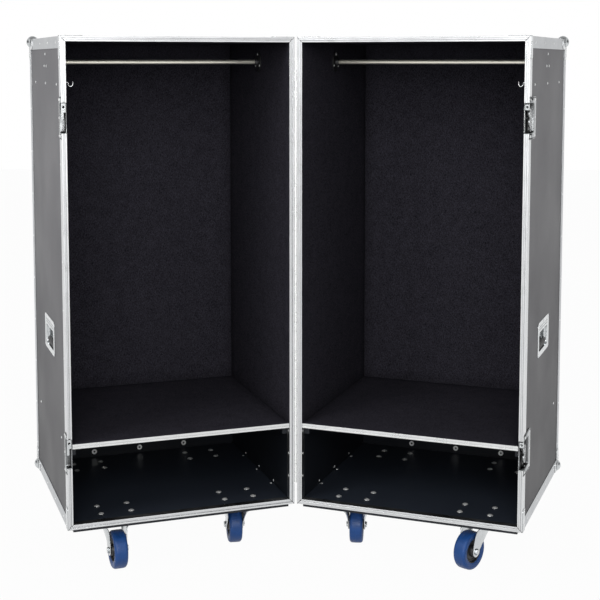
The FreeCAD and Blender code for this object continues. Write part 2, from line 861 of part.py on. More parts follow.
def castor_fork():
    # Drawn at the swivel axis, trailing towards -Y, with heights from the floor.
    crown_low = crown_low_height()
    half_across = crown_width / 2
    half_along = crown_length / 2
    crown = box(-half_across, half_across, -half_along, half_along, crown_low, crown_low + crown_t)
    upright_edges = [e for e in crown.Edges if e.BoundBox.ZLength > crown_t / 2]
    crown = crown.makeFillet(crown_corner, upright_edges)
    crown = crown.cut(Part.makeCylinder(kingpin_radius + turn_clear, crown_t, Vector(0, 0, crown_low)))
    inner_face = hub_width / 2 + 2 * seat_clear
    outer_face = inner_face + leg_t
    foot = leg_foot_radius
    foot_low = wheel_radius - foot
    bend_z = wheel_radius + foot
    # Seen from the side, a leg widens from its round foot up to the crown.
    blade = [
        Vector(0, half_along, crown_low),
        Vector(0, foot - castor_trail, wheel_radius),
        Vector(0, -foot - castor_trail, wheel_radius),
        Vector(0, -half_along, crown_low),
        Vector(0, half_along, crown_low),
    ]
    # Seen from the front, it stands upright past the axle and then leans out to the crown's edge.
    bent = [(inner_face, foot_low), (outer_face, foot_low), (outer_face, bend_z), (half_across, crown_low),
            (half_across - leg_t, crown_low), (inner_face, bend_z), (inner_face, foot_low)]
    legs = []
    for way in (-1, 1):
        side_view = Part.Face(Part.makePolygon(blade)).extrude(Vector(way * half_across, 0, 0))
        axle_place = Vector(0, -castor_trail, wheel_radius)
        end = Part.makeCylinder(foot, half_across, axle_place, Vector(way, 0, 0))
        outline = [Vector(way * x, -half_along - foot, z) for x, z in bent]
        sheet = Part.Face(Part.makePolygon(outline)).extrude(Vector(0, 2 * (half_along + foot), 0))
        legs.append(sheet.common(joined([side_view, end])))
    bolt_start = Vector(-outer_face, -castor_trail, wheel_radius)
    bolt = Part.makeCylinder(axle_radius, 2 * outer_face, bolt_start, Vector(1, 0, 0))
    ends = [bolt]
    for x0 in (-outer_face - axle_nut_height, outer_face):
        nut = prism(axle_nut_radius, 6, axle_nut_height, Vector(0, 0, 0))
        nut.rotate(Vector(0, 0, 0), Vector(0, 1, 0), 90)
        nut.translate(Vector(x0, -castor_trail, wheel_radius))
        ends.append(nut)
    return [crown] + [leg.cut(bolt) for leg in legs] + [joined(ends)]


def castor_wheel():
    # A moulded rim with its tyre, turned about the axle from one outline.
    half_tyre = tyre_width / 2
    half_hub = hub_width / 2
    bore = axle_radius + turn_clear
    rim_radius = wheel_radius - tyre_t
    rounding = tyre_shoulder * math.sin(math.pi / 4)
    outline = [
        (bore, half_hub),
        (hub_radius, half_hub),
        (hub_radius, rim_dish),
        (rim_radius - rim_lip, rim_dish),
        (rim_radius - rim_lip, half_tyre - rim_lip),
        (rim_radius, half_tyre),
        (wheel_radius - tyre_shoulder, half_tyre),
        (wheel_radius - tyre_shoulder + rounding, half_tyre - tyre_shoulder + rounding),
        (wheel_radius, half_tyre - tyre_shoulder),
    ]
    points = [Vector(x, 0, r) for r, x in outline]
    points += [Vector(-x, 0, r) for r, x in reversed(outline)]
    points.append(points[0])
    wheel = Part.Face(Part.makePolygon(points)).revolve(Vector(0, 0, 0), Vector(1, 0, 0), 360)
    wheel.translate(Vector(0, -castor_trail, wheel_radius))
    return wheel


# Fixings

def dome(place, normal, radius, height):
    # A shallow domed head on a surface.
    sphere_radius = dome_radius(radius, height)
    start = math.degrees(math.asin((sphere_radius - height) / sphere_radius))
    centre = place - normal * (sphere_radius - height)
    return Part.makeSphere(sphere_radius, centre, normal, start, 90, 360)


def edge_fixings():
    # Heads of the rivets along the edge angles, on the outer, back, top, bottom and hinge sides.
    heads = []
    ins = rivet_from_edge
    outer_way = Vector(1, 0, 0)
    hinge_way = Vector(-1, 0, 0)
    back_way = Vector(0, 1, 0)
    for z in spread(corner_leg + ins, top - corner_leg - ins, rivet_pitch):
        heads.append((Vector(far, back - ins, z), outer_way))
        heads.append((Vector(near, back - ins, z), hinge_way))
        heads.append((Vector(near + ins, back, z), back_way))
        heads.append((Vector(far - ins, back, z), back_way))
    for v in spread(face + brace_leg + ins, back - corner_leg - ins, rivet_pitch):
        for z, way in ((0, -UP), (top, UP)):
            level = z - way.z * ins
            heads.append((Vector(far, v, level), outer_way))
            heads.append((Vector(near, v, level), hinge_way))
            if z == top:
                heads.append((Vector(far - ins, v, z), way))
                heads.append((Vector(near + ins, v, z), way))
    for u in spread(near + corner_leg + ins, far - corner_leg - ins, rivet_pitch):
        heads.append((Vector(u, back, ins), back_way))
        heads.append((Vector(u, back, top - ins), back_way))
        heads.append((Vector(u, back - ins, top), UP))
        heads.append((Vector(u, face + rivet_from_frame_face, top), UP))
    return heads


def frame_fixings():
    heads = []
    v = face + rivet_from_frame_face
    clear = latch_flange_height / 2 + rivet_radius
    for z in spread(brace_leg + rivet_from_edge, top - brace_leg - rivet_from_edge, rivet_pitch):
        if all(abs(z - latch_z) > clear for latch_z in latch_heights):
            heads.append((Vector(far, v, z), Vector(1, 0, 0)))
    return heads


def corner_fixings():
    heads = []
    ins = rivet_from_edge
    reach = corner_leg - rivet_radius - corner_t
    brace_reach = brace_leg - rivet_radius - corner_t
    brace_v = face + brace_set_back + brace_width / 2
    for u, du in ((near, 1), (far, -1)):
        side_way = Vector(-du, 0, 0)
        side_u = u - du * corner_t
        for z, dz in ((0, 1), (top, -1)):
            flat_way = Vector(0, 0, -dz)
            flat_z = z - dz * corner_t
            heads.append((Vector(side_u, back - ins, z + dz * reach), side_way))
            heads.append((Vector(side_u, back - reach, z + dz * ins), side_way))
            heads.append((Vector(u + du * ins, back + corner_t, z + dz * reach), Vector(0, 1, 0)))
            heads.append((Vector(u + du * reach, back + corner_t, z + dz * ins), Vector(0, 1, 0)))
            heads.append((Vector(side_u, brace_v, z + dz * brace_reach), side_way))
            heads.append((Vector(side_u, brace_v, z + dz * ins), side_way))
            if z == top:
                heads.append((Vector(u + du * ins, back - reach, flat_z), flat_way))
                heads.append((Vector(u + du * reach, back - ins, flat_z), flat_way))
                heads.append((Vector(u + du * brace_reach, brace_v, flat_z), flat_way))
                heads.append((Vector(u + du * ins, brace_v, flat_z), flat_way))
    return heads


def latch_fixings(side):
    heads = []
    way = Vector(1, 0, 0)
    flange_back = latch_flange_back if side == "right" else keeper_flange_back
    dish_back = dish_depth(side)
    rim = (latch_flange_height - latch_recess_height) / 4
    v_rim = (flange_back + dish_back) / 2
    for z in latch_heights:
        half = latch_flange_height / 2 - rim
        for level in (z - half, z + half):
            heads.append((Vector(far + sheet_t, face + rim + rivet_radius, level), way))
            heads.append((Vector(far + sheet_t, v_rim, level), way))
        heads.append((Vector(far + sheet_t, v_rim, z), way))
    return heads


def handle_fixings():
    heads = []
    way = Vector(1, 0, 0)
    surface = far - metal_t + sheet_t
    rim_v = (handle_flange_length - handle_recess_length) / 4
    rim_low = (handle_flange_height / 2 - handle_recess_low) / 2
    half = handle_flange_length / 2 - rim_v
    low = handle_z - handle_flange_height / 2 + rim_low
    high = handle_z + handle_flange_height / 2 - rim_low
    for v in (fittings_v - half, fittings_v, fittings_v + half):
        heads.append((Vector(surface, v, low), way))
        heads.append((Vector(surface, v, high), way))
    return heads


def wall_fixings():
    # Ends of the rail, hook and shelf fixings, as they show outside.
    heads = []
    outer = far - metal_t
    out = Vector(1, 0, 0)
    hinge_side = near + metal_t
    for turn in range(flange_screw_count):
        angle = math.radians(90 + 360 * turn / flange_screw_count)
        v = fittings_v + flange_screw_circle * math.cos(angle)
        z = rail_z + flange_screw_circle * math.sin(angle)
        heads.append((Vector(outer, v, z), out))
        heads.append((Vector(hinge_side, v, z), -out))
        heads.append((Vector(far - lining_face - flange_t, v, z), -out))
        heads.append((Vector(near + lining_face + flange_t, v, z), out))
    for v in hook_places():
        heads.append((Vector(outer, v, hook_z), out))
        heads.append((Vector(far - lining_face - hook_plate_t, v, hook_z - hook_plate_height / 4), -out))
    shelf_z = (shelf_low + shelf_top) / 2
    past_flange = latch_flange_back + 2 * rivet_radius
    for v in (face + past_flange, back - past_flange):
        heads.append((Vector(outer, v, shelf_z), out))
        heads.append((Vector(hinge_side, v, shelf_z), -out))
    return heads


def inside_fixings():
    # Heads inside the lower compartment: along both ends of the floor, and on the hinge side's frame leg.
    heads = []
    floor = wall_inset
    ins = rivet_from_edge
    for v in (middle_v - floor_rivet_pitch, middle_v, middle_v + floor_rivet_pitch):
        heads.append((Vector(near + wall_inset + ins / 2, v, floor), UP))
        heads.append((Vector(near + wall_inset, v, floor + ins / 2), Vector(1, 0, 0)))
        heads.append((Vector(far - wall_inset - ins / 2, v, floor), UP))
        heads.append((Vector(far - wall_inset, v, floor + ins / 2), Vector(-1, 0, 0)))
    leg_face = near + wall_inset + metal_t
    for z in spread(corner_leg + ins, shelf_low - batten_height / 2, hinge_rivet_pitch):
        heads.append((Vector(leg_face, face + inner_leg / 2, z), Vector(1, 0, 0)))
    return heads


def back_washers():
    # Three washers low on the back wall, inside the lower compartment.
    rings = []
    wall = back - wall_inset
    way = Vector(0, -1, 0)
    for u in (middle_u - washer_pitch, middle_u, middle_u + washer_pitch):
        place = Vector(u, wall, wall_inset + washer_above_floor)
        ring_solid = Part.makeCylinder(washer_radius, washer_t, place, way)
        rings.append(ring_solid.cut(Part.makeCylinder(washer_hole_radius, washer_t, place, way)))
    return rings


def hinge_fixings():
    low, high = hinge_run()
    heads = []
    v = (leaf_width + knuckle_radius) / 2
    for z in spread(low + rivet_from_edge, high - rivet_from_edge, hinge_rivet_pitch):
        heads.append((Vector(near - leaf_t, v, z), Vector(-1, 0, 0)))
    return heads


def fixings(side):
    large = edge_fixings() + frame_fixings() + corner_fixings() + latch_fixings(side) + handle_fixings()
    large += wall_fixings() + inside_fixings()
    domes = [dome(place, way, rivet_radius, rivet_height) for place, way in large]
    domes += [dome(place, way, small_rivet_radius, small_rivet_height) for place, way in hinge_fixings()]
    return group(domes + back_washers())


# The assembled case in the pose of the open book

def place_half(shape, side):
    placed = shape.copy()
    placed.rotate(Vector(0, 0, 0), UP, -turn_in)
    if side == "left":
        placed = placed.mirror(Vector(0, 0, 0), Vector(1, 0, 0))
    placed.translate(Vector(0, 0, case_lift))
    return placed


def swivel_place(side, name):
    u, v = castor_places()[name]
    turn = math.radians(turn_in)
    x = u * math.cos(turn) + v * math.sin(turn)
    y = v * math.cos(turn) - u * math.sin(turn)
    return Vector(x if side == "right" else -x, y, 0)


# Where each castor trails, in degrees from straight forward, towards the right
castor_headings = {
    "left": {"front_outer": 22.0, "front_hinge": -169.0, "rear_outer": 150.0, "rear_hinge": -160.0},
    "right": {"front_outer": -41.0, "front_hinge": 175.0, "rear_outer": -140.0, "rear_hinge": 165.0},
}

half_pieces = {
    "outer_side_panel": outer_side_panel,
    "hinge_side_panel": hinge_side_panel,
    "back_panel": back_panel,
    "top_panel": top_panel,
    "floor_panel": floor_panel,
    "castor_board": castor_board,
    "closing_frame": closing_frame,
    "edge_angles": edge_angles,
    "corner_fittings": corner_fittings,
    "lining": lining,
    "shelf": shelf,
    "shelf_trim": shelf_trim,
    "hanging_rail": hanging_rail,
    "coat_hooks": coat_hooks,
    "handle_dish": handle_dish,
    "handle_bail": handle_bail,
    "hinge_leaf": hinge_leaf,
    "castor_plates": castor_plates,
    "fixings": fixings,
}


def assemble():
    nodes = {}
    for side in ("left", "right"):
        for name, make in half_pieces.items():
            nodes[side + "_" + name] = place_half(make(side), side)
        for name, heading in castor_headings[side].items():
            for piece, shapes in (("fork", castor_fork()), ("wheel", [castor_wheel()])):
                shape = group(shapes)
                shape.rotate(Vector(0, 0, 0), UP, heading)
                shape.translate(swivel_place(side, name))
                nodes[side + "_" + name + "_" + piece] = shape
    nodes["left_keeper_dishes"] = place_half(latch_dishes("left"), "left")
    nodes["right_latch_dishes"] = place_half(latch_dishes("right"), "right")
    for name, z in (("lower", lower_latch_z), ("upper", upper_latch_z)):
        nodes[name + "_latch_wing"] = place_half(latch_wing(z), "right")
        nodes[name + "_latch_hook"] = place_half(latch_hook(z), "right")
    return nodes


def footprint_shift(nodes):
    # Brings the middle of the whole footprint to the origin.
    bounds = Part.makeCompound(list(nodes.values())).optimalBoundingBox()
    return Vector(-(bounds.XMin + bounds.XMax) / 2, -(bounds.YMin + bounds.YMax) / 2, 0)


os.makedirs("parts", exist_ok=True)
case_nodes = assemble()
shift = footprint_shift(case_nodes)
for node, shape in case_nodes.items():
    shape.translate(shift)
    shape.exportStep("parts/" + node + ".step")
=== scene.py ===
import bmesh
import bpy
import json
import math
from mathutils import Matrix, Vector, noise


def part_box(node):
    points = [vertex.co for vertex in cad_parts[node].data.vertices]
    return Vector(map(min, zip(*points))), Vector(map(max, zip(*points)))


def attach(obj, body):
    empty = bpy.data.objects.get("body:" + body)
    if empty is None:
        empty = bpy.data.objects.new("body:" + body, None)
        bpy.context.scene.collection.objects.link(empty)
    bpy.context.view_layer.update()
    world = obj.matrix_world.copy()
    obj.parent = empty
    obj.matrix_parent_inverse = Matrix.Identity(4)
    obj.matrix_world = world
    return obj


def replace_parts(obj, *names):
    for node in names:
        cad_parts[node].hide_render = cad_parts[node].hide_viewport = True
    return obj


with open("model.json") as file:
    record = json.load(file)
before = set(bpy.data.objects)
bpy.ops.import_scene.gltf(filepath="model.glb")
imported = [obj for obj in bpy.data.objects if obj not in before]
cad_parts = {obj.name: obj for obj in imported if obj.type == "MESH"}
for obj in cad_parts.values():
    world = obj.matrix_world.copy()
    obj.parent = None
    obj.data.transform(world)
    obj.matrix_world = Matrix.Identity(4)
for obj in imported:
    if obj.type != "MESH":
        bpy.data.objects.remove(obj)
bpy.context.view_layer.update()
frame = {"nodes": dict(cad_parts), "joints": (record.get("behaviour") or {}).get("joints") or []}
joints = {joint["name"]: joint for joint in frame["joints"]}
sides = ("left", "right")


# Wall panels
# Each half is a box of 9 mm plywood with a hard grey laminate pressed onto it.
# The laminate has a fine pebbled grain, and handling leaves it duller in soft patches.

def put(tree, kind, inputs=None, **settings):
    node = tree.nodes.new(kind)
    for setting, value in settings.items():
        setattr(node, setting, value)
    for socket, value in (inputs or {}).items():
        if isinstance(value, bpy.types.NodeSocket):
            tree.links.new(value, node.inputs[socket])
        else:
            node.inputs[socket].default_value = value
    return node


def calc(tree, operation, *values):
    return put(tree, "ShaderNodeMath", dict(enumerate(values)), operation=operation).outputs[0]


def cloud(tree, vector, scale, detail=3.0):
    # Noise whose lumps are 1 / scale metres across
    inputs = {"Vector": vector, "Scale": scale, "Detail": detail}
    return put(tree, "ShaderNodeTexNoise", inputs).outputs["Fac"]


def varied(tree, value, depth, middle):
    # The middle value, moved up and down by another that runs from 0 to 1
    return calc(tree, "MULTIPLY_ADD", calc(tree, "SUBTRACT", value, 0.5), depth, middle)


def ramp(tree, value, start, end):
    return put(tree, "ShaderNodeMapRange", {0: value, 1: start, 2: end}, clamp=True).outputs[0]


def height_of(tree, vector):
    return put(tree, "ShaderNodeSeparateXYZ", {0: vector}).outputs[2]


def blended(tree, share, first, second):
    return put(tree, "ShaderNodeMix", {0: share, 6: first, 7: second}, data_type="RGBA").outputs[2]


def tinted(tree, colour, tone):
    # The colour made lighter or darker by the tone, which is 1 where nothing changes
    inputs = {0: 1.0, 6: colour, 7: tone}
    return put(tree, "ShaderNodeMix", inputs, data_type="RGBA", blend_type="MULTIPLY").outputs[2]


def effect(name, inputs, outputs):
    group = bpy.data.node_groups.new(name, "ShaderNodeTree")
    for label, kind in inputs:
        group.interface.new_socket(label, in_out="INPUT", socket_type="NodeSocket" + kind)
    for label, kind in outputs:
        group.interface.new_socket(label, in_out="OUTPUT", socket_type="NodeSocket" + kind)
    given = group.nodes.new("NodeGroupInput").outputs
    return group, given, group.nodes.new("NodeGroupOutput").inputs


def use(tree, group, inputs):
    return put(tree, "ShaderNodeGroup", inputs, node_tree=group).outputs


handling, given, made = effect(
    "Handling marks",
    [("Vector", "Vector"), ("Colour", "Color"), ("Roughness", "Float"),
     ("Patch scale", "Float"), ("Tone", "Float"), ("Dulling", "Float")],
    [("Colour", "Color"), ("Roughness", "Float")])
patch = cloud(handling, given["Vector"], given["Patch scale"], 5.0)
tone = varied(handling, patch, given["Tone"], 1.0)
handling.links.new(tinted(handling, given["Colour"], tone), made["Colour"])
handling.links.new(varied(handling, patch, given["Dulling"], given["Roughness"]), made["Roughness"])

recess, given, made = effect(
    "Shade in recesses",
    [("Colour", "Color"), ("Reach", "Float"), ("Depth", "Float")], [("Colour", "Color")])
around = put(recess, "ShaderNodeAmbientOcclusion", {"Distance": given["Reach"]}, samples=6)
shade = calc(recess, "MULTIPLY", calc(recess, "SUBTRACT", 1.0, around.outputs["AO"]), given["Depth"])
darkest = 0.05
left_over = calc(recess, "MAXIMUM", calc(recess, "SUBTRACT", 1.0, shade), darkest)
recess.links.new(tinted(recess, given["Colour"], left_over), made["Colour"])

grain, given, made = effect(
    "Pebbled grain", [("Vector", "Vector"), ("Pebble scale", "Float")], [("Height", "Float")])
pebble = put(grain, "ShaderNodeTexVoronoi", {"Vector": given["Vector"], "Scale": given["Pebble scale"]},
             feature="SMOOTH_F1").outputs["Distance"]
grain.links.new(calc(grain, "SUBTRACT", 1.0, pebble), made["Height"])


def finish(name, metallic=0.0, **fixed):
    material = bpy.data.materials.new(name)
    material.use_nodes = True
    tree = material.node_tree
    shader = tree.nodes["Principled BSDF"]
    shader.inputs["Metallic"].default_value = metallic
    for socket, value in fixed.items():
        shader.inputs[socket.replace("_", " ")].default_value = value
    return material, tree, shader.inputs, tree.nodes.new("ShaderNodeTexCoord").outputs


def raise_surface(tree, shader, height, depth, edge_radius=0.0):
    # Depth is how far the height's whole range stands up, in metres
    bump = put(tree, "ShaderNodeBump", {"Height": height, "Distance": depth, "Strength": 1.0})
    if edge_radius:
        rounded = put(tree, "ShaderNodeBevel", {"Radius": edge_radius}, samples=4)
        tree.links.new(rounded.outputs[0], bump.inputs["Normal"])
    tree.links.new(bump.outputs[0], shader["Normal"])


def with_painted_shade(tree, shader, colour, reach, depth):
    # Painted shade: the colour is darkened where another piece stands closer than the reach
    shaded = use(tree, recess, {"Colour": colour, "Reach": reach, "Depth": depth})
    tree.links.new(shaded["Colour"], shader["Base Color"])


def direction(tree, vector, way):
    return put(tree, "ShaderNodeVectorMath", {0: vector, 1: way}, operation="DOT_PRODUCT").outputs["Value"]


# Painted shade: the colour grows darker toward the floor, from 1.05 m above it down to 0.1 m, by the given
# depth
low_painted_shade, given, made = effect(
    "Painted shade near the ground",
    [("Vector", "Vector"), ("Colour", "Color"), ("Shade depth", "Float")], [("Colour", "Color")])
unshaded_from, most_shaded = 1.05, 0.1
shaded_share = ramp(low_painted_shade, height_of(low_painted_shade, given["Vector"]), unshaded_from, most_shaded)
lit_share = calc(low_painted_shade, "SUBTRACT", 1.0, calc(low_painted_shade, "MULTIPLY", shaded_share, given["Shade depth"]))
low_painted_shade.links.new(tinted(low_painted_shade, given["Colour"], lit_share), made["Colour"])

backing, given, made = effect(
    "Black inside face",
    [("Normal", "Vector"), ("Inward", "Vector"), ("Outside", "Color"), ("Inside", "Color")],
    [("Colour", "Color")])
inner = calc(backing, "GREATER_THAN", direction(backing, given["Normal"], given["Inward"]), 0.5)
backing.links.new(blended(backing, inner, given["Outside"], given["Inside"]), made["Colour"])


def laminate(name, colour, roughness, tone, specular, inward=None):
    material, tree, shader, spot = finish(name, Specular_IOR_Level=specular)
    if inward:
        # Painted shade, darker towards the bottom of the outside faces
        low = use(tree, low_painted_shade, {"Vector": spot["Object"], "Colour": colour, "Shade depth": 0.56})
        faces = use(tree, backing, {"Normal": spot["Normal"], "Inward": inward, "Outside": low["Colour"],
                                    "Inside": (0.0090, 0.0105, 0.0140, 1)})
        colour = faces["Colour"]
    marks = use(tree, handling, {"Vector": spot["Object"], "Colour": colour, "Roughness": roughness,
                                 "Patch scale": 5.0, "Tone": tone, "Dulling": 0.25})
    # Painted shade along the edges of the fittings and pieces that stand on the laminate
    with_painted_shade(tree, shader, marks["Colour"], 0.004, 0.8)
    tree.links.new(marks["Roughness"], shader["Roughness"])
    pebbles = use(tree, grain, {"Vector": spot["Object"], "Pebble scale": 900.0})
    raise_surface(tree, shader, pebbles["Height"], 0.00006)
    return material


def dress(material, *parts):
    for part in parts:
        frame["nodes"][part].material_slots[0].material = material


half_turn = math.radians(20)
grey = (0.130, 0.128, 0.138, 1)


def half_ways(side):
    # Across the half's open face, away from the hinge, and straight back into the half
    way = -1 if side == "left" else 1
    across = Vector((way * math.cos(half_turn), -math.sin(half_turn), 0))
    return across, Vector((way * math.sin(half_turn), math.cos(half_turn), 0))


for side in sides:
    across, deep = half_ways(side)
    down = Vector((0, 0, -1))
    for wall, inward in (("outer_side", -across), ("hinge_side", across), ("back", -deep), ("top", down)):
        faced = laminate(f"{side} {wall} grey laminate", grey, 0.46, 0.2, 0.15, tuple(inward))
        dress(faced, f"{side}_{wall}_panel")


# Floor and castor boards
# The floor inside and the board that carries the castors are black-faced plywood.
# The inside face is smoother than the outside, so it shows soft reflections of the bolts.

black_laminate = laminate("Black laminate", (0.0085, 0.0105, 0.0150, 1), 0.4, 0.4, 0.3)
floor_laminate = laminate("Black floor laminate", (0.0190, 0.0235, 0.0330, 1), 0.42, 0.35, 0.22)
for side in sides:
    dress(floor_laminate, f"{side}_floor_panel")
    dress(black_laminate, f"{side}_castor_board")


# Closing frames, edge angles and shelf trims
# Extruded aluminium, cut to length, mitred and riveted on. Drawing leaves fine lines along
# each length, and the mill finish is a little cloudy and lightly scratched.

drawn, given, made = effect(
    "Drawn aluminium",
    [("Vector", "Vector"), ("Colour", "Color"), ("Roughness", "Float"), ("Low", "Float"), ("High", "Float")],
    [("Colour", "Color"), ("Roughness", "Float"), ("Height", "Float")])
level = height_of(drawn, given["Vector"])
upright = calc(drawn, "MULTIPLY", calc(drawn, "GREATER_THAN", level, given["Low"]),
               calc(drawn, "LESS_THAN", level, given["High"]))


def stretched(tree, vector, stretch, turn=(0, 0, 0)):
    inputs = {"Vector": vector, "Rotation": turn, "Scale": stretch}
    return put(tree, "ShaderNodeMapping", inputs).outputs[0]


line_upright = cloud(drawn, stretched(drawn, given["Vector"], (900, 900, 9)), 1.0)
line_flat = cloud(drawn, stretched(drawn, given["Vector"], (9, 30, 900)), 1.0)
lines = put(drawn, "ShaderNodeMix", {0: upright, 2: line_flat, 3: line_upright}).outputs[0]
drawn.links.new(lines, made["Height"])
haze = cloud(drawn, given["Vector"], 22.0, 5.0)
tone = varied(drawn, haze, 0.12, varied(drawn, lines, 0.10, 1.0))
drawn.links.new(tinted(drawn, given["Colour"], tone), made["Colour"])
dulled = varied(drawn, haze, 0.25, varied(drawn, lines, 0.25, given["Roughness"]))
drawn.links.new(dulled, made["Roughness"])

mitres, given, made = effect(
    "Mitred corners",
    [("Vector", "Vector"), ("Across", "Vector"), ("Start", "Float"), ("End", "Float"), ("Low", "Float"),
     ("High", "Float"), ("Colour", "Color")], [("Colour", "Color")])


def from_edge(spot, first, last):
    to_last = calc(mitres, "SUBTRACT", last, spot)
    return calc(mitres, "MINIMUM", calc(mitres, "SUBTRACT", spot, first), to_last)


seam_half, seam_reach, seam_dark = 0.0009, 0.02, 0.85
level = height_of(mitres, given["Vector"])
from_side = from_edge(direction(mitres, given["Vector"], given["Across"]), given["Start"], given["End"])
from_end = from_edge(level, given["Low"], given["High"])
off = calc(mitres, "ABSOLUTE", calc(mitres, "SUBTRACT", from_side, from_end))
seam = calc(mitres, "MULTIPLY", calc(mitres, "LESS_THAN", off, seam_half),
            calc(mitres, "LESS_THAN", from_side, seam_reach))
seam_tone = calc(mitres, "MULTIPLY_ADD", seam, -seam_dark, 1.0)
mitres.links.new(tinted(mitres, given["Colour"], seam_tone), made["Colour"])

hinge_line = Vector(joints["case_hinge"]["pos_m"])
case_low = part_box("left_closing_frame")[0].z
case_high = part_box("left_closing_frame")[1].z
bar_height = 0.03
# One half's millimetres: its two sides, its open face and its back over the metalwork, and its top
near, far, face, back, top = 4.0, 612.0, 0.3, 560.3, 1250.0


def aluminium_finish(name, colour, roughness, across=None):
    material, tree, shader, spot = finish(name, 1.0)
    metal = use(tree, drawn, {"Vector": spot["Object"], "Colour": colour, "Roughness": roughness,
                              "Low": case_low + bar_height, "High": case_high - bar_height})
    shown = metal["Colour"]
    if across:
        start = across.dot(hinge_line)
        corners = {"Across": tuple(across), "Start": start + near / 1000, "End": start + far / 1000,
                   "Low": case_low, "High": case_high}
        shown = use(tree, mitres, {"Vector": spot["Object"], "Colour": shown, **corners})["Colour"]
    # Painted shade where other pieces meet the aluminium
    with_painted_shade(tree, shader, shown, 0.003, 0.9)
    tree.links.new(metal["Roughness"], shader["Roughness"])
    raise_surface(tree, shader, metal["Height"], 0.00001, 0.0012)
    return material


bright_aluminium = aluminium_finish("Bright drawn aluminium", (0.74, 0.75, 0.75, 1), 0.32)
# Partly painted shade: the same aluminium as the frames, painted darker for the edge angles, and a little
# rougher
darker_copy_aluminium = aluminium_finish("Mill aluminium painted darker", (0.50, 0.515, 0.53, 1), 0.38)
frame_colour = (0.67, 0.68, 0.69, 1)
for side in sides:
    mitred = aluminium_finish(f"{side} frame aluminium", frame_colour, 0.32, half_ways(side)[0])
    dress(mitred, f"{side}_closing_frame")
    dress(bright_aluminium, f"{side}_shelf_trim")
    dress(darker_copy_aluminium, f"{side}_edge_angles")


# Long hinge
# Two zinc-plated steel leaves with rolled knuckles on one steel pin, riveted along the inner edges.
# The plating is bright, slightly blue, and clouded where it was handled.

plating, given, made = effect(
    "Zinc plating",
    [("Vector", "Vector"), ("Colour", "Color"), ("Bloom colour", "Color"), ("Roughness", "Float"),
     ("Bloom scale", "Float")],
    [("Colour", "Color"), ("Roughness", "Float"), ("Height", "Float")])
bloom = cloud(plating, given["Vector"], given["Bloom scale"], 6.0)
speckle = cloud(plating, given["Vector"], 900.0, 2.0)
mixed = blended(plating, bloom, given["Colour"], given["Bloom colour"])
plating.links.new(tinted(plating, mixed, varied(plating, speckle, 0.14, 1.0)), made["Colour"])
plating.links.new(varied(plating, bloom, 0.35, given["Roughness"]), made["Roughness"])
plating.links.new(speckle, made["Height"])


def plated_finish(name, colours, roughness, bloom_scale, painted_nook_shade, metallic=1.0):
    # The colours are the clean and the bloomed one; the pair after the bloom scale is the reach and depth of
    # the painted shade where another piece stands near
    material, tree, shader, spot = finish(name, metallic)
    clean, bloomed = ((*colour, 1) for colour in colours)
    plate = use(tree, plating, {"Vector": spot["Object"], "Colour": clean, "Bloom colour": bloomed,
                                "Roughness": roughness, "Bloom scale": bloom_scale})
    with_painted_shade(tree, shader, plate["Colour"], *painted_nook_shade)
    tree.links.new(plate["Roughness"], shader["Roughness"])
    raise_surface(tree, shader, plate["Height"], 0.000008, 0.0007)
    return material


bright_colours = ((0.96, 0.97, 0.96), (0.91, 0.92, 0.91))
bright_zinc = plated_finish("Bright zinc plate", bright_colours, 0.3, 40.0, (0.002, 0.7), 0.7)
for side in sides:
    dress(bright_zinc, f"{side}_hinge_leaf")


# Ball corners and front braces
# Pressed zinc-plated steel. A ball corner has a ball on three pairs of legs that wrap the edges;
# a brace is a bent strip over the outside of the frame's mitre. Both are riveted on.

def half_place(side):
    # One half's own millimetres: u across the open face, v back from it, z up from its underside
    place = Matrix.Translation((hinge_line.x, hinge_line.y, case_low))
    place = place @ Matrix.Rotation(-half_turn, 4, "Z") @ Matrix.Scale(0.001, 4)
    return Matrix.Scale(-1, 4, (1, 0, 0)) @ place if side == "left" else place


def piece(name, body, material, mesh_data, place, sharp=35):
    mesh_data.transform(place)
    if place.determinant() < 0:
        bmesh.ops.reverse_faces(mesh_data, faces=mesh_data.faces)
    mesh = bpy.data.meshes.new(name)
    mesh_data.to_mesh(mesh)
    mesh_data.free()
    mesh.shade_smooth()
    mesh.set_sharp_from_angle(angle=math.radians(sharp))
    mesh.materials.append(material)
    made_piece = bpy.data.objects.new(name, mesh)
    bpy.context.scene.collection.objects.link(made_piece)
    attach(made_piece, body)
    return made_piece


def half_piece(side, name, material, mesh_data):
    return piece(f"{side}_{name}", f"{side}_half", material, mesh_data, half_place(side))


def closed_normals(mesh_data):
    bmesh.ops.recalc_face_normals(mesh_data, faces=mesh_data.faces)


def plate(mesh_data, outline, low, high, spot, softness=0.3):
    # A flat plate from low to high; spot turns a point of the outline and a height into a place
    floor_ring = [mesh_data.verts.new(spot(a, b, low)) for a, b in outline]
    roof_ring = [mesh_data.verts.new(spot(a, b, high)) for a, b in outline]
    count = len(outline)
    roof = mesh_data.faces.new(roof_ring)
    mesh_data.faces.new(list(reversed(floor_ring)))
    for index in range(count):
        following = (index + 1) % count
        mesh_data.faces.new((floor_ring[index], floor_ring[following],
                             roof_ring[following], roof_ring[index]))
    if softness:
        bmesh.ops.bevel(mesh_data, geom=list(roof.edges), offset=softness, segments=2, profile=0.6,
                        affect="EDGES")


def corner_arc(centre, radius, start, end, steps=5):
    turns = [math.radians(start + (end - start) * step / steps) for step in range(steps + 1)]
    return [(centre[0] + radius * math.cos(turn), centre[1] + radius * math.sin(turn)) for turn in turns]


zinc_colours = ((0.66, 0.68, 0.69), (0.50, 0.52, 0.53))
zinc = plated_finish("Clouded zinc plate", zinc_colours, 0.22, 60.0, (0.004, 0.8))
corner_leg, corner_width, corner_t, tip_radius = 60.0, 29.0, 1.18, 9.0
brace_leg, brace_width, brace_front = 57.0, 27.0, face + 2.0
ball_radius, ball_inset = 17.48, 8.0


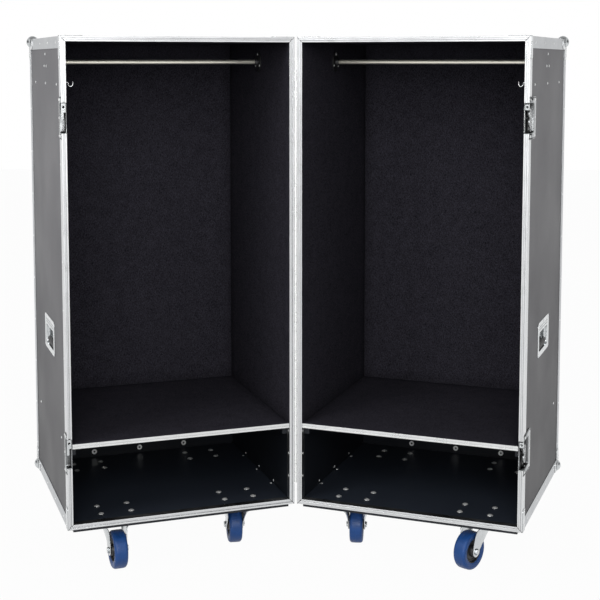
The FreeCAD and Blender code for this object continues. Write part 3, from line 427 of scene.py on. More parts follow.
def corner_leaf():
    # The outline that a ball corner shows on each face: two legs with rounded tips
    w, leg, r, crook = corner_width, corner_leg, tip_radius, 5.0
    points = [(-corner_t, -corner_t)] + [(leg - r, -corner_t)]
    points += corner_arc((leg - r, r), r, -80, 0) + corner_arc((leg - r, w - r), r, 0, 90)
    points += corner_arc((w + crook, w + crook), crook, 270, 180)
    points += corner_arc((w - r, leg - r), r, 0, 90) + corner_arc((r, leg - r), r, 90, 170)
    return points + [(-corner_t, leg - r)]


def brace_leaf():
    r = 7.0
    points = [(-corner_t, 0), (brace_leg - r, 0)] + corner_arc((brace_leg - r, r), r, -80, 0)
    return points + corner_arc((brace_leg - r, brace_width - r), r, 0, 90) + [(-corner_t, brace_width)]


def corner_ball(mesh_data, corner, way):
    place = Matrix.Translation(Vector(corner) + Vector(way) * ball_inset)
    made_ball = bmesh.ops.create_icosphere(mesh_data, subdivisions=4, radius=ball_radius, matrix=place)
    skin_depth = 0.4
    for vert in made_ball["verts"]:
        depths = [(vert.co[axis] - corner[axis]) * way[axis] for axis in range(3)]
        if min(depths) > -skin_depth:
            axis = depths.index(min(depths))
            vert.co[axis] = corner[axis] - way[axis] * skin_depth


sunk = -0.2
for side in sides:
    fittings = bmesh.new()
    for u, u_way in ((near, 1), (far, -1)):
        for z, z_way in ((0.0, 1), (top, -1)):
            for spot in (lambda a, b, h: (u + u_way * a, back + h, z + z_way * b),
                         lambda a, b, h: (u - u_way * h, back - a, z + z_way * b),
                         lambda a, b, h: (u + u_way * a, back - b, z - z_way * h)):
                plate(fittings, corner_leaf(), sunk, corner_t, spot)
            corner_ball(fittings, (u, back, z), (u_way, -1, z_way))
            for spot in (lambda a, b, h: (u + u_way * a, brace_front + b, z - z_way * h),
                         lambda a, b, h: (u - u_way * h, brace_front + b, z + z_way * a)):
                plate(fittings, brace_leaf(), sunk, corner_t, spot)
    closed_normals(fittings)
    made = half_piece(side, "corner_metalwork", zinc, fittings)
    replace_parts(made, f"{side}_corner_fittings")


# Rivets and screws
# Domed steel heads, bright-plated, pulled down on the metalwork and through the walls.

head_colours = ((0.92, 0.93, 0.93), (0.84, 0.86, 0.86))
head_zinc = plated_finish("Zinc plate on rivet heads", head_colours, 0.4, 40.0, (0.001, 0.5), 0.55)
for side in sides:
    dress(head_zinc, f"{side}_fixings")


# Carpet lining
# Needle-felt carpet glued to the walls, the top and the shelf of the upper compartment.
# It is charcoal, dense and short, with slightly rounded cut edges and a soft unevenness.

felt, given, made = effect(
    "Needle felt", [("Vector", "Vector"), ("Colour", "Color"), ("Fleck colour", "Color")],
    [("Colour", "Color"), ("Height", "Float")])
fibres = []
for stretch, turn in (((2600, 500, 2600), (0, 0, 0.6)), ((500, 2600, 900), (0.5, 0, 0.3)),
                      ((1500, 1500, 400), (0, 0.7, 0))):
    fibres.append(cloud(felt, stretched(felt, given["Vector"], stretch, turn), 1.0, 2.0))
pile = calc(felt, "MAXIMUM", calc(felt, "MAXIMUM", fibres[0], fibres[1]), fibres[2])
uneven = cloud(felt, given["Vector"], 35.0, 4.0)
knot_way = stretched(felt, given["Vector"], (420, 420, 260), (0.3, 0.4, 0.2))
knots = calc(felt, "SUBTRACT", cloud(felt, knot_way, 1.0, 3.0), 0.5)
soft_tone = varied(felt, uneven, 0.5, 1.0)
tone = calc(felt, "MAXIMUM", calc(felt, "MULTIPLY_ADD", knots, 3.2, soft_tone), 0.15)
fleck = calc(felt, "POWER", calc(felt, "MULTIPLY", pile, 1.25), 6.0)
felt.links.new(calc(felt, "MULTIPLY_ADD", knots, 1.5, pile), made["Height"])
flecked = blended(felt, fleck, given["Colour"], given["Fleck colour"])
felt.links.new(tinted(felt, flecked, tone), made["Colour"])

carpet, tree, shader, spot = finish("Charcoal carpet", Roughness=0.95, Specular_IOR_Level=0.02)
wool = use(tree, felt, {"Vector": spot["Object"], "Colour": (0.0240, 0.0228, 0.0300, 1),
                        "Fleck colour": (0.040, 0.038, 0.048, 1)})
# Painted shade in the carpet's corners and where it meets other pieces
with_painted_shade(tree, shader, wool["Colour"], 0.04, 0.55)
raise_surface(tree, shader, wool["Height"], 0.0006)

wall_inset, lining_face, carpet_t, shelf_low, shelf_top = 10.5, 13.5, 1.45, 210.0, 222.0
handle_z, handle_v = 453.0, 267.3


def edge_steps(start, end, breaks, pitch=9.0, soft=1.6):
    rims = {start, start + soft, start + 2 * soft, end - 2 * soft, end - soft, end}
    marks = sorted(rims | {mark for mark in breaks if start < mark < end})
    steps = []
    for first, last in zip(marks, marks[1:]):
        parts = max(1, round((last - first) / pitch))
        steps += [first + (last - first) * part / parts for part in range(parts)]
    return steps + [end]


def crease(point, start, end, width):
    # How far up a soft fold from start to end lifts the sheet at the point, from 0 to 1
    along = Vector(end) - Vector(start)
    share = (Vector(point) - Vector(start)).dot(along) / along.length_squared
    if not 0 < share < 1:
        return 0.0
    off = (Vector(point) - Vector(start) - along * share).length / width
    return math.exp(-off * off) * math.sin(math.pi * share)


def carpet_sheet(mesh_data, a_range, b_range, spot, gaps=(), creases=()):
    # A felt sheet over a and b; spot turns a, b and a height over the glued face into a place
    a_steps = edge_steps(*a_range, [mark for gap in gaps for mark in gap[:2]])
    b_steps = edge_steps(*b_range, [mark for gap in gaps for mark in gap[2:]])
    verts = {}

    def corner(i, j, upper):
        if (i, j, upper) not in verts:
            a, b = a_steps[i], b_steps[j]
            height = 0.0
            if upper:
                ring = min(i, j, len(a_steps) - 1 - i, len(b_steps) - 1 - j)
                glued = Vector(spot(a, b, 0))
                lump = noise.noise(glued * 0.02) * 0.25 + noise.noise(glued * 0.06) * 0.15
                lift = sum(rise * crease((a, b), start, end, width) for start, end, width, rise in creases)
                height = carpet_t - (1.2, 0.5, 0.1)[min(ring, 2)] + (lump + lift if ring > 1 else 0.0)
            verts[i, j, upper] = mesh_data.verts.new(spot(a, b, height))
        return verts[i, j, upper]

    def kept(i, j):
        if not (0 <= i < len(a_steps) - 1 and 0 <= j < len(b_steps) - 1):
            return False
        a, b = (a_steps[i] + a_steps[i + 1]) / 2, (b_steps[j] + b_steps[j + 1]) / 2
        return not any(gap[0] < a < gap[1] and gap[2] < b < gap[3] for gap in gaps)

    for i in range(len(a_steps) - 1):
        for j in range(len(b_steps) - 1):
            if not kept(i, j):
                continue
            ring = [(i, j), (i + 1, j), (i + 1, j + 1), (i, j + 1)]
            mesh_data.faces.new([corner(*place, True) for place in ring])
            mesh_data.faces.new([corner(*place, False) for place in reversed(ring)])
            for side_index, (di, dj) in enumerate(((0, -1), (1, 0), (0, 1), (-1, 0))):
                if not kept(i + di, j + dj):
                    first, second = ring[side_index], ring[(side_index + 1) % 4]
                    mesh_data.faces.new((corner(*first, False), corner(*second, False),
                                         corner(*second, True), corner(*first, True)))


back_creases = {
    "left": [((22, 525), (64, 425), 8, 1.7), ((38, 425), (100, 392), 8, 1.4),
             ((60, 545), (145, 465), 12, 1.0), ((100, 430), (220, 402), 10, 0.9),
             ((150, 525), (235, 440), 14, 0.8)],
    "right": [((280, 1170), (435, 980), 10, 1.2), ((40, 430), (95, 525), 10, 0.8)],
}
handle_gap = (handle_v - 63.2, handle_v + 63.2, handle_z - 35.2, handle_z + 19.2)
base = lining_face - carpet_t
v_low, v_high = face + 5.0, back - lining_face
u_low, u_high = near + lining_face, far - lining_face
wall_v, wall_z = (v_low, back - wall_inset), (shelf_low, top - wall_inset - 1.5)
shelf_play, shelf_front = 0.3, face + 2.2
for side in sides:
    lining = bmesh.new()
    carpet_sheet(lining, wall_v, wall_z, lambda v, z, h: (near + base + h, v, z))
    carpet_sheet(lining, wall_v, wall_z, lambda v, z, h: (far - base - h, v, z), [handle_gap])
    carpet_sheet(lining, (u_low, u_high), (shelf_low, top - wall_inset),
                 lambda u, z, h: (u, back - base - h, z), creases=back_creases[side])
    carpet_sheet(lining, (u_low, u_high), (v_low, v_high), lambda u, v, h: (u, v, top - base - h))
    carpet_sheet(lining, (u_low + shelf_play, u_high - shelf_play), (shelf_front, v_high - shelf_play),
                 lambda u, v, h: (u, v, shelf_top + h))
    closed_normals(lining)
    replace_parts(half_piece(side, "carpet", carpet, lining), f"{side}_lining")


# Shelves
# A black-faced board with battens under its ends and back, in an aluminium trim at the front.

for side in sides:
    dress(black_laminate, f"{side}_shelf")


# Hanging rails
# Nickel-plated steel tube in two black-coated flanges, each held by three screws.
# The plating is warmer than the zinc around it.

def skin(mesh_data, rings, closed=True):
    # Faces between each ring of points and the one after it
    for one, two in zip(rings, rings[1:]):
        for index in range(len(one) if closed else len(one) - 1):
            following = (index + 1) % len(one)
            mesh_data.faces.new((one[index], one[following], two[following], two[index]))


def turned(mesh_data, outline, centre, axis="x", steps=64):
    # A closed outline of (along, radius) turned about an axis through the centre
    rings = []
    for step in range(steps):
        turn = 2 * math.pi * step / steps
        ring = []
        for along, r in outline:
            if axis == "x":
                offset = Vector((along, r * math.cos(turn), r * math.sin(turn)))
            else:
                offset = Vector((r * math.cos(turn), r * math.sin(turn), along))
            ring.append(mesh_data.verts.new(Vector(centre) + offset))
        rings.append(ring)
    skin(mesh_data, rings + rings[:1])


nickel_colours = ((0.90, 0.87, 0.77), (0.84, 0.81, 0.70))
nickel = plated_finish("Nickel plate", nickel_colours, 0.34, 8.0, (0.01, 0.4), 0.75)


def moulded_finish(name, colour, roughness, marks, pebbles=None, painted_nook_shade=None, **fixed):
    # Marks are the size, tone and dulling of its patches; pebbles are the size and depth of its grain
    material, tree, shader, spot = finish(name, **fixed)
    worn = use(tree, handling, {"Vector": spot["Object"], "Colour": (*colour, 1), "Roughness": roughness,
                                "Patch scale": marks[0], "Tone": marks[1], "Dulling": marks[2]})
    tree.links.new(worn["Colour"], shader["Base Color"])
    tree.links.new(worn["Roughness"], shader["Roughness"])
    # Painted shade where another piece stands near, by the given reach and depth
    if painted_nook_shade:
        with_painted_shade(tree, shader, worn["Colour"], *painted_nook_shade)
    if pebbles:
        pebbled = use(tree, grain, {"Vector": spot["Object"], "Pebble scale": pebbles[0]})
        raise_surface(tree, shader, pebbled["Height"], pebbles[1])
    return material


black_coat = moulded_finish("Black coated flange", (0.010, 0.010, 0.012), 0.5, (60.0, 0.4, 0.3),
                            painted_nook_shade=(0.01, 0.7))
rail_z, rail_r = top - 64.0, 6.0
rail_ends = (near + lining_face, far - lining_face)
for side in sides:
    tube = bmesh.new()
    low, high = rail_ends[0] + 2.5, rail_ends[1] - 2.5
    tube_wall = [(low, rail_r - 1.2), (low, rail_r), (high, rail_r), (high, rail_r - 1.2)]
    turned(tube, tube_wall, (0, handle_v, rail_z), "x", 32)
    closed_normals(tube)
    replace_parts(half_piece(side, "rail_tube", nickel, tube), f"{side}_hanging_rail")
    flanges = bmesh.new()
    for u, way in ((rail_ends[0], 1), (rail_ends[1], -1)):
        outline = [(0.1, rail_r + 0.1), (0.1, 27.9), (1.6, 27.9), (2.4, 27.0), (2.5, 11.5), (3.1, 10.2),
                   (11.0, 9.7), (12.0, 8.9), (12.0, rail_r + 0.1)]
        turned(flanges, [(way * along, r) for along, r in outline], (u, handle_v, rail_z), "x", 48)
    closed_normals(flanges)
    half_piece(side, "rail_flanges", black_coat, flanges)


# Coat hooks
# Three bent wire hooks with ball tips on small plates, screwed to the outer wall.

def rod(mesh_data, points, radius, steps=12):
    # A round bar along the points, with flat ends
    points = [Vector(point) for point in points]
    rings = []
    side_way = None
    for index, point in enumerate(points):
        ahead = points[min(index + 1, len(points) - 1)] - points[max(index - 1, 0)]
        ahead.normalize()
        if side_way is None:
            side_way = ahead.orthogonal()
        side_way = (side_way - ahead * side_way.dot(ahead)).normalized()
        other_way = ahead.cross(side_way)
        turns = [2 * math.pi * step / steps for step in range(steps)]
        rings.append([mesh_data.verts.new(point + side_way * math.cos(turn) * radius
                                          + other_way * math.sin(turn) * radius) for turn in turns])
    skin(mesh_data, rings)
    mesh_data.faces.new(list(reversed(rings[0])))
    mesh_data.faces.new(rings[-1])


def rounded_outline(centre, half, radius):
    # A rectangle with rounded corners, as points about its centre
    points = []
    for way_a, way_b, start in ((1, 1, 0), (-1, 1, 90), (-1, -1, 180), (1, -1, 270)):
        middle = (centre[0] + way_a * (half[0] - radius), centre[1] + way_b * (half[1] - radius))
        points += corner_arc(middle, radius, start, start + 90)
    return points


hook_z, hook_bend, hook_limb, hook_wire, hook_tip = top - 120.0, 5.75, 5.0, 1.45, 2.1
hook_reach, hook_shoulder = 17.5, 3.5
for side in sides:
    hooks = bmesh.new()
    wall_u = far - lining_face
    for v in (80.3, handle_v, 454.3):
        hook_plate = rounded_outline((v, hook_z), (6.5, 12.0), 4.0)
        plate(hooks, hook_plate, -0.3, 1.5, lambda a, b, h: (wall_u - h, a, b))
        bend_z = hook_z + (hook_bend - hook_limb) / 2
        limb_z = bend_z + hook_limb
        inner_u = wall_u - hook_reach
        shoulder = corner_arc((inner_u + hook_shoulder, limb_z - hook_shoulder), hook_shoulder, 90, 180, 3)
        bend = corner_arc((inner_u - hook_bend, bend_z), hook_bend, 0, -180, 9)
        line = [(wall_u - 1.0, limb_z), *shoulder, *bend, (inner_u - 2 * hook_bend, limb_z)]
        rod(hooks, [(u, v, z) for u, z in line], hook_wire)
        tip = Matrix.Translation((inner_u - 2 * hook_bend, v, limb_z))
        bmesh.ops.create_uvsphere(hooks, u_segments=20, v_segments=12, radius=hook_tip, matrix=tip)
    closed_normals(hooks)
    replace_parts(half_piece(side, "bent_hooks", zinc, hooks), f"{side}_coat_hooks")


# Recessed handles
# A pressed steel dish in the outer wall, with ribs on its wide upper rim, holds a sprung steel bail.
# The bail has a moulded black grip with finger ribs.

def rounded_ring(mesh_data, centre, half, radius, u):
    return [mesh_data.verts.new((u, a, b)) for a, b in rounded_outline(centre, half, radius)]


def pressed(shell, thickness=0.0012, offset=-1):
    # Gives a pressing its sheet thickness: offset -1 puts it behind the face that shows, 0 about the middle
    modifier = shell.modifiers.new("Sheet", "SOLIDIFY")
    modifier.thickness = thickness
    modifier.offset = offset
    return shell


pocket_centre, pocket_half = (handle_v, handle_z - 8.0), (62.0, 26.0)
rim_centre, rim_half = (handle_v, handle_z), (83.0, 47.0)
rim_u, pocket_u = far - 0.3, far - 15.0
rib_reach, rib_r = 58.0, 1.7
bail_u, bail_z, bail_half, bail_drop = far - 8.25, handle_z + 10.0, 56.0, 33.0
bow_wire, pivot_wire, bend = 3.3, 2.5, 7.0
grip_reach, grip_rise, ridges = 47.8, 4.0, 11

black_grip = moulded_finish("Moulded black grip", (0.012, 0.012, 0.013), 0.5, (60.0, 0.5, 0.3),
                            (1600.0, 0.00005))

for side in sides:
    dish = bmesh.new()
    rings = [rounded_ring(dish, rim_centre, rim_half, 12.0, rim_u - 0.5),
             rounded_ring(dish, rim_centre, (rim_half[0] - 0.6, rim_half[1] - 0.6), 11.4, rim_u)]
    for grow, radius, u in ((3.0, 10.0, rim_u), (1.2, 8.5, rim_u - 0.3), (0.2, 7.5, rim_u - 1.4),
                            (0.0, 7.0, rim_u - 3.0), (-0.8, 6.5, pocket_u + 3.0), (-1.8, 6.0, pocket_u + 0.9),
                            (-4.0, 4.5, pocket_u)):
        half = (pocket_half[0] + grow, pocket_half[1] + grow)
        rings.append(rounded_ring(dish, pocket_centre, half, radius, u))
    skin(dish, rings)
    dish.faces.new(rings[-1])
    made = half_piece(side, "handle_pressing", zinc, dish)
    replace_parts(pressed(made), f"{side}_handle_dish")

    ribs = bmesh.new()
    for z in (handle_z + 25.0, handle_z + 32.0):
        outline = corner_arc((handle_v + rib_reach, z), rib_r, -90, 90)
        outline += corner_arc((handle_v - rib_reach, z), rib_r, 90, 270)
        plate(ribs, outline, sunk, 0.9, lambda a, b, h: (rim_u + h, a, b), 0.7)
    closed_normals(ribs)
    half_piece(side, "handle_ribs", zinc, ribs)

    bow = bmesh.new()
    low_z = bail_z - bail_drop
    path = []
    for way in (-1, 1):
        arm = handle_v + way * bail_half
        side_line = [(arm + way * 3.0, bail_z), (arm - way * 0.6, bail_z - 0.6), (arm, bail_z - 3.0)]
        start, end = (0, -90) if way == 1 else (180, 270)
        side_line += corner_arc((arm - way * bend, low_z + bend), bend, start, end, 4)
        path += side_line if way == -1 else list(reversed(side_line))
        rod(bow, [(bail_u, arm + way * 1.5, bail_z), (bail_u, arm + way * 6.7, bail_z)], pivot_wire)
    rod(bow, [(bail_u, v, z) for v, z in path], bow_wire)
    closed_normals(bow)
    bail = piece(f"{side}_bail_bow", f"{side}_handle_bail", zinc, bow, half_place(side))
    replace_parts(bail, f"{side}_handle_bail")

    grip = bmesh.new()
    end_band = [(0.0, 3.6), (0.4, 4.6), (1.6, 5.3)]
    ridge_outline = [(0.0, 4.7), (0.2, 5.3), (0.5, 5.45), (0.8, 5.3), (0.97, 4.7)]
    ridged = grip_reach - 4.0
    width = 2 * ridged / ridges
    stations = [(along - grip_reach, r) for along, r in end_band]
    for ridge in range(ridges):
        stations += [(-ridged + width * (ridge + share), r) for share, r in ridge_outline]
    stations += [(grip_reach - along, r) for along, r in reversed(end_band)]
    rings = []
    for along, r in stations:
        ring = corner_arc((0, grip_rise), r, 0, 180, 12) + corner_arc((0, -grip_rise), r, 180, 360, 12)
        rings.append([grip.verts.new((bail_u + a, handle_v + along, low_z + b)) for a, b in ring])
    skin(grip, rings)
    grip.faces.new(rings[-1])
    grip.faces.new(list(reversed(rings[0])))
    closed_normals(grip)
    piece(f"{side}_bail_grip", f"{side}_handle_bail", black_grip, grip, half_place(side))


# Twist latches and keepers
# Zinc-plated pressings let into the edge of each outer wall. A butterfly wing on a short spindle
# turns a flat hook, whose tooth goes behind the keeper's lip on the other half.

lower_latch, upper_latch = 198.0, 1048.0
latch_half, latch_rim_half, latch_floor, latch_rim = 37.0, 53.0, far - 11.8, far + 1.2
spindle_v = 26.0


def edge_ring(mesh_data, z, half, back_v, radius, u):
    # A U-shaped line round a dish that is open at the closing face
    points = [(face, z + half)] + corner_arc((back_v - radius, z + half - radius), radius, 90, 0)
    points += corner_arc((back_v - radius, z - half + radius), radius, 0, -90) + [(face, z - half)]
    return [mesh_data.verts.new((u, a, b)) for a, b in points]


def latch_pressing(mesh_data, z, dish_back, rim_back):
    # The flange with its pressed groove, then the dish's edge, walls and floor
    rings = [edge_ring(mesh_data, z, latch_rim_half - inset, rim_back - inset, 12.0 - inset, latch_rim - drop)
             for inset, drop in ((0.0, 0.5), (0.6, 0.0), (1.8, 0.0), (2.2, 0.9), (3.4, 0.9), (3.8, 0.0))]
    for grow, radius, u in ((2.0, 7.0, latch_rim), (0.7, 6.4, latch_rim - 0.5), (0.0, 6.0, latch_rim - 1.8),
                            (-0.5, 5.8, latch_floor + 3.0), (-1.4, 5.2, latch_floor + 0.8),
                            (-3.5, 4.0, latch_floor)):
        half = latch_half + (grow if grow > 0 else grow * 0.3)
        rings.append(edge_ring(mesh_data, z, half, dish_back + grow, radius, u))
    rings = [list(reversed(ring)) for ring in rings]
    skin(mesh_data, rings, closed=False)
    mesh_data.faces.new(rings[-1])


def bored_square(mesh_data, u_range, z_range, v_range, hole, hole_r, soft=0.8):
    # A square block with a round hole through it along v
    steps = 32
    u_mid, z_mid = (u_range[0] + u_range[1]) / 2, (z_range[0] + z_range[1]) / 2
    u_half, z_half = (u_range[1] - u_range[0]) / 2, (z_range[1] - z_range[0]) / 2

    def outer(turn, shrink):
        c, s = math.cos(turn), math.sin(turn)
        reach = min((u_half - shrink) / max(abs(c), 1e-6), (z_half - shrink) / max(abs(s), 1e-6))
        return u_mid + reach * c, z_mid + reach * s

    turns = [math.pi / 4 + 2 * math.pi * step / steps for step in range(steps)]
    rings = [[(*outer(turn, shrink), v) for turn in turns]
             for v, shrink in ((v_range[0], soft), (v_range[0] + soft, 0.0), (v_range[1], 0.0))]
    rings += [[(hole[0] + r * math.cos(turn), hole[1] + r * math.sin(turn), v) for turn in turns]
              for v, r in ((v_range[1], hole_r), (v_range[0] + 0.5, hole_r), (v_range[0], hole_r + 0.5))]
    made_rings = [[mesh_data.verts.new((u, v, z)) for u, z, v in ring] for ring in rings]
    skin(mesh_data, made_rings + made_rings[:1])


def circle(centre, radius, steps, start=90.0):
    return corner_arc(centre, radius, start, start - 360 + 360 / steps, steps - 1)


# Painted shade: a darker copy of the zinc, with deep painted shade in its recesses, for the latch dishes,
# wings and hooks
shaded_dish_colours = ((0.46, 0.475, 0.48), (0.33, 0.34, 0.35))
shaded_zinc = plated_finish("Zinc plate darkened by painted shade in the latch dishes", shaded_dish_colours, 0.22, 60.0, (0.035, 2.4))
for side, dish_name, dish_back, rim_back in (("left", "left_keeper_dishes", 20.0, 34.0),
                                             ("right", "right_latch_dishes", 62.0, 88.0)):
    dishes = bmesh.new()
    for z in (lower_latch, upper_latch):
        latch_pressing(dishes, z, dish_back, rim_back)
    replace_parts(pressed(half_piece(side, "latch_pressings", shaded_zinc, dishes)), dish_name)

guide_u, guide_z, guide_r, guide_half = far - 5.9, 27.5, 3.0, 7.4
lip_u, lip_v, arm_face = (latch_floor + 0.2, far - 0.1), (face + 1.1, face + 3.0), latch_floor + 5.8
lips = bmesh.new()
for z in (lower_latch, upper_latch):
    outline = [(lip_u[0], z + 20.0), (lip_u[0], z + 14.0), (arm_face, z + 14.0), (arm_face, z - 1.5),
               (arm_face + 1.5, z - 3.0), (far - 1.5, z - 3.0), (lip_u[1], z - 1.5), (lip_u[1], z + 20.0)]
    plate(lips, outline, *lip_v, lambda a, b, h: (a, h, b), 0.0)
    bored_square(lips, lip_u, (z + 20.0, z + 36.6), lip_v, (guide_u, z + guide_z), guide_r, 0.3)
closed_normals(lips)
half_piece("left", "keeper_lips", zinc, lips)

blocks = bmesh.new()
for z in (lower_latch, upper_latch):
    bored_square(blocks, (lip_u[0], far - 1.1), (z + guide_z - guide_half, z + guide_z + guide_half),
                 (lip_v[0], face + 10.9), (guide_u, z + guide_z), guide_r)
closed_normals(blocks)
half_piece("right", "guide_blocks", zinc, blocks)

waist_r, wing_reach, wing_steps = 8.5, 15.3, 48
pad_z, pad_half = 14.5, (6.5, 5.5)
disc_r, post_r, disc_low = 9.0, 4.9, latch_floor + 0.3


def outward(a, b, h):
    return h, a, b


for name, z in (("lower", lower_latch), ("upper", upper_latch)):
    wing = bmesh.new()
    outline = []
    for step in range(wing_steps):
        turn = 2 * math.pi * step / wing_steps
        reach = waist_r + wing_reach * abs(math.cos(turn)) ** 1.1
        outline.append((spindle_v + reach * math.sin(turn), z + reach * math.cos(turn)))
    plate(wing, outline, far - 4.5, far - 1.6, outward, 0.9)
    for way in (-1, 1):
        pad = [(spindle_v + a * pad_half[0], z + way * pad_z + b * pad_half[1])
               for a, b in circle((0, 0), 1, 18)]
        plate(wing, pad, far - 2.2, far - 0.8, outward, 0.7)
    plate(wing, circle((spindle_v, z), disc_r, 24), disc_low, disc_low + 1.5, outward)
    plate(wing, circle((spindle_v, z), post_r, 24), disc_low, far - 1.0, outward, 0.8)
    closed_normals(wing)
    made = piece(f"{name}_butterfly", f"{name}_latch", shaded_zinc, wing, half_place("right"))
    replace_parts(made, f"{name}_latch_wing")
    dress(shaded_zinc, f"{name}_latch_hook")


# Castor plates
# Zinc-plated steel plates under the castor board, each held by four bolts up through the floor.

for side in sides:
    dress(bright_zinc, f"{side}_castor_plates")


# Castor forks
# Each fork is one pressing: a round crown under the ball race and two legs that taper to the axle.
# A bolt with hexagon ends goes through both legs and the wheel's hub.

castor_spots = ("front_outer", "front_hinge", "rear_outer", "rear_hinge")
castors = [f"{side}_{castor_spot}" for side in sides for castor_spot in castor_spots]
wheel_radius, castor_trail = 50.0, 38.0


def castor_place(castor):
    # The castor's own millimetres: x along the axle, y against the trail, z up from the floor
    swivel, spin = joints[f"{castor}_swivel"], joints[f"{castor}_spin"]
    axle = Vector(spin["axis"])
    across = Vector((-axle.y, axle.x, 0))
    turn = Matrix((axle, across, Vector((0, 0, 1)))).transposed().to_4x4()
    return Matrix.Translation((swivel["pos_m"][0], swivel["pos_m"][1], 0)) @ turn @ Matrix.Scale(0.001, 4)


def fork_leg(mesh_data, way):
    # Leaves the crown's edge, leans in and goes straight down past the axle; each row runs across the leg
    leg_x, crown_x, shoulder, crown_z, bend_z, foot_r = 22.1, 27.0, 5.5, 114.9, 64.0, 14.0
    root_half, root_z = 36.3, 111.7
    line = [(23.0, crown_z), (crown_x, crown_z)]
    for turn in map(math.radians, (18, 36, 54, 72, 78)):
        line.append((crown_x + shoulder * math.sin(turn), crown_z - shoulder + shoulder * math.cos(turn)))
    start_x, start_z = line[-1]
    line += [(start_x + (leg_x - start_x) * step / 7, start_z + (bend_z - start_z) * step / 7)
             for step in range(1, 7)]
    line += [(leg_x + 0.35, bend_z + 1.5), (leg_x, bend_z - 2.5), (leg_x, 57.0), (leg_x, wheel_radius + 3.0)]
    rows_at = []
    for x, z in line:
        share = min(1.0, max(0.0, (root_z - z) / (root_z - wheel_radius)))
        ahead = root_half + (castor_trail + foot_r - root_half) * share ** 0.9
        behind = root_half - (root_half + castor_trail - foot_r) * share ** 1.02
        round_off = max(0.0, z - root_z) * 1.6
        rows_at.append((x, z, ahead - round_off, behind - round_off))
    for angle in (8, 25, 40, 55, 70, 80, 87):
        turn = math.radians(angle)
        reach = foot_r * math.cos(turn)
        foot_z = wheel_radius - foot_r * math.sin(turn)
        rows_at.append((leg_x, foot_z, castor_trail + reach, reach - castor_trail))
    across = 12
    rows = []
    for x, z, ahead, behind in rows_at:
        cup = 5.5 * max(0.0, min(1.0, (z - 60.0) / 30.0)) * max(0.0, min(1.0, (113.0 - z) / 6.0))
        row = []
        for share in (step / across for step in range(across + 1)):
            hollowed = x - cup * abs(2 * share - 1) ** 3
            row.append(mesh_data.verts.new((way * hollowed, -ahead + (ahead + behind) * share, z)))
        rows.append(row)
    skin(mesh_data, rows if way < 0 else rows[::-1], closed=False)


def hexagon(mesh_data, centre, radius, low, high):
    plate(mesh_data, circle(centre, radius, 6, 0.0), low, high, outward, 0.6)


for castor in castors:
    legs = bmesh.new()
    for way in (-1, 1):
        fork_leg(legs, way)
    made = piece(f"{castor}_fork_legs", f"{castor}_fork", zinc, legs, castor_place(castor))
    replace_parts(pressed(made, 0.003, 0), f"{castor}_fork")
    metal = bmesh.new()
    crown = rounded_outline((0, 0), (29.0, 36.5), 12.0)
    plate(metal, crown, 113.3, 116.5, lambda a, b, h: (a, b, h), 1.0)
    turned(metal, [(111.9, 6.2), (111.9, 17.0), (113.4, 18.5), (113.4, 6.2)], (0, 0, 0), "z", 40)
    axle = (0, -castor_trail, wheel_radius)
    turned(metal, [(-23.9, 0.01), (-23.9, 4.95), (23.9, 4.95), (23.9, 0.01)], axle, "x", 24)
    washer = [(23.65, 5.0), (24.6, 5.0), (24.6, 8.6), (23.65, 8.6)]
    for way in (-1, 1):
        turned(metal, [(way * x, r) for x, r in washer], axle, "x", 32)
        hexagon(metal, axle[1:], 7.6, *sorted((way * 24.5, way * 28.4)))
    bmesh.ops.remove_doubles(metal, verts=metal.verts, dist=0.02)
    closed_normals(metal)
    piece(f"{castor}_crown_and_axle", f"{castor}_fork", zinc, metal, castor_place(castor))


# Castor wheels
# A blue elastic rubber tyre with rounded shoulders is moulded onto a black ribbed nylon rim.
# The tread is slightly duller than the sides where it has rolled.

blue_rubber = moulded_finish("Blue elastic rubber", (0.007, 0.053, 0.205), 0.46, (45.0, 0.45, 0.4),
                             (1300.0, 0.00008), Specular_IOR_Level=0.4)
black_nylon = moulded_finish("Black nylon", (0.010, 0.010, 0.011), 0.42, (70.0, 0.5, 0.3))

# Both outlines are points of (along the axle, radius): the tread's seam and shoulder, then the side
rim_r, shoulder_r = 31.4, 7.5
tyre_outline = [(-0.5, 49.75), (-0.4, 49.95), (0.4, 49.95), (0.5, 49.75), (8.0, 49.65)]
tyre_outline += corner_arc((10.5, 42.1), shoulder_r, 90, 0)
tyre_outline += [(17.7, 40.0), (17.2, 36.5), (16.4, 33.0), (15.0, rim_r)]
tyre_outline += [(-x, r) for x, r in reversed(tyre_outline[3:])]
rim_outline = [(14.9, rim_r - 0.05), (15.4, 30.6), (15.0, 29.6), (12.4, 28.8), (10.0, 27.4), (9.4, 25.6),
               (9.2, 24.6), (10.2, 23.8), (10.2, 23.0), (9.2, 22.2), (9.0, 17.5), (9.8, 15.6),
               (18.6, 14.4), (19.6, 13.6), (19.8, 12.0), (19.8, 5.2)]
rim_outline += [(-x, r) for x, r in reversed(rim_outline)]
for castor in castors:
    axle = (0, -castor_trail, wheel_radius)
    tyre = bmesh.new()
    turned(tyre, tyre_outline, axle, "x", 96)
    closed_normals(tyre)
    made = piece(f"{castor}_tyre", f"{castor}_wheel", blue_rubber, tyre, castor_place(castor))
    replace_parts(made, f"{castor}_wheel")
    rim = bmesh.new()
    turned(rim, rim_outline, axle, "x", 72)
    closed_normals(rim)
    piece(f"{castor}_rim", f"{castor}_wheel", black_nylon, rim, castor_place(castor))


# Studio
# A pale floor under a white surround, a broad lamp in front and above, and the camera that took the view.

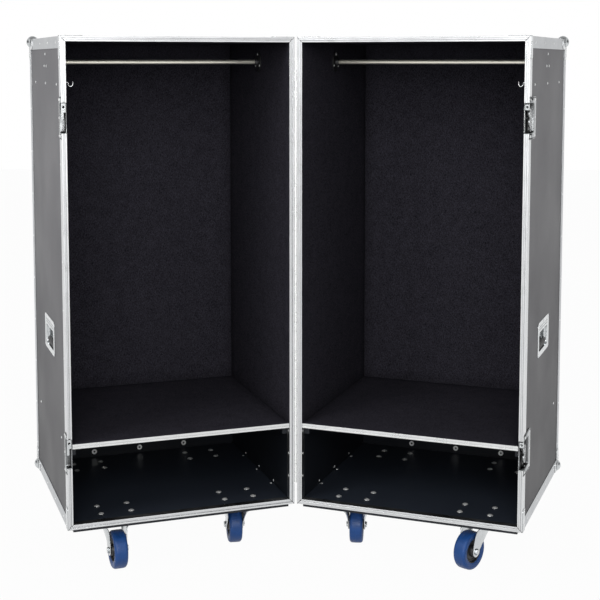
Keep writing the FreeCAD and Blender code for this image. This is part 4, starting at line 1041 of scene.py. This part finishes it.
scene = bpy.context.scene
floor_data = bmesh.new()
bmesh.ops.create_grid(floor_data, x_segments=1, y_segments=1, size=12.0)
floor_mesh = bpy.data.meshes.new("studio_floor")
floor_data.to_mesh(floor_mesh)
floor_data.free()
floor = bpy.data.objects.new("studio_floor", floor_mesh)
scene.collection.objects.link(floor)
paper, tree, shader, spot = finish("White paper", Roughness=0.9)
shader["Base Color"].default_value = (0.45, 0.45, 0.45, 1)
principled = tree.nodes["Principled BSDF"]
glow = put(tree, "ShaderNodeEmission", {"Color": (1, 1, 1, 1), "Strength": 1.0})
light_path = put(tree, "ShaderNodeLightPath")
seen = calc(tree, "MAXIMUM", light_path.outputs["Is Camera Ray"], light_path.outputs["Is Glossy Ray"])
glow_share = 0.97
share = calc(tree, "MULTIPLY", seen, glow_share)
paper_mix = put(tree, "ShaderNodeMixShader", {0: share, 1: principled.outputs[0], 2: glow.outputs[0]})
tree.links.new(paper_mix.outputs[0], tree.nodes["Material Output"].inputs[0])
floor_mesh.materials.append(paper)

world = bpy.data.worlds.new("White surround")
world.use_nodes = True
scene.world = world
tree = world.node_tree
light_path = put(tree, "ShaderNodeLightPath")
seen = calc(tree, "MAXIMUM", light_path.outputs["Is Camera Ray"], light_path.outputs["Is Transmission Ray"])
sky = put(tree, "ShaderNodeTexCoord").outputs["Generated"]
aside = put(tree, "ShaderNodeSeparateXYZ", {0: sky}).outputs[0]
beside = ramp(tree, calc(tree, "ABSOLUTE", aside), 0.78, 0.93)
above = ramp(tree, height_of(tree, sky), 0.45, 0.85)
dark_beside, dark_above, fill_light = 0.85, 0.6, 0.5
dark_wall = calc(tree, "MAXIMUM", calc(tree, "MULTIPLY", beside, dark_beside),
                 calc(tree, "MULTIPLY", above, dark_above))
mirrored = calc(tree, "SUBTRACT", 1.0, dark_wall)
reflected = light_path.outputs["Is Glossy Ray"]
unseen = put(tree, "ShaderNodeMix", {0: reflected, 2: fill_light, 3: mirrored}).outputs[0]
strength = put(tree, "ShaderNodeMix", {0: seen, 2: unseen, 3: 1.0}).outputs[0]
background = tree.nodes["Background"]
background.inputs["Color"].default_value = (1, 1, 1, 1)
tree.links.new(strength, background.inputs["Strength"])


def lamp(name, place, aim, size, power):
    data = bpy.data.lights.new(name, "AREA")
    data.shape = "SQUARE"
    data.size = size
    data.energy = power
    light = bpy.data.objects.new(name, data)
    light.location = place
    light.rotation_euler = (Vector(aim) - Vector(place)).to_track_quat("-Z", "Y").to_euler()
    scene.collection.objects.link(light)


lamp("left_lamp", (-2.9, -2.6, 3.1), (-0.3, 0, 0.9), 1.8, 62.0)
lamp("right_lamp", (2.9, -2.6, 3.1), (0.3, 0, 0.9), 1.8, 6.0)
lamp("front_lamp", (0.05, -4.4, 2.2), (0, 0, 0.8), 2.6, 110.0)

view = bpy.data.cameras.new("camera")
camera = bpy.data.objects.new("camera", view)
scene.collection.objects.link(camera)
scene.camera = camera
focal_pixels, frame_pixels = 1269.68, 600.0
view.sensor_width = 36.0
view.lens = focal_pixels / frame_pixels * view.sensor_width
view.shift_x, view.shift_y = 4.98 / frame_pixels, -120.0 / frame_pixels
camera.location = (0.03982, -3.3304 + hinge_line.y, 1.18905 + case_low)
camera.rotation_euler = (math.radians(90 - 5.364), 0, math.radians(0.719))
scene.view_settings.view_transform = "Standard"

bpy.context.view_layer.update()
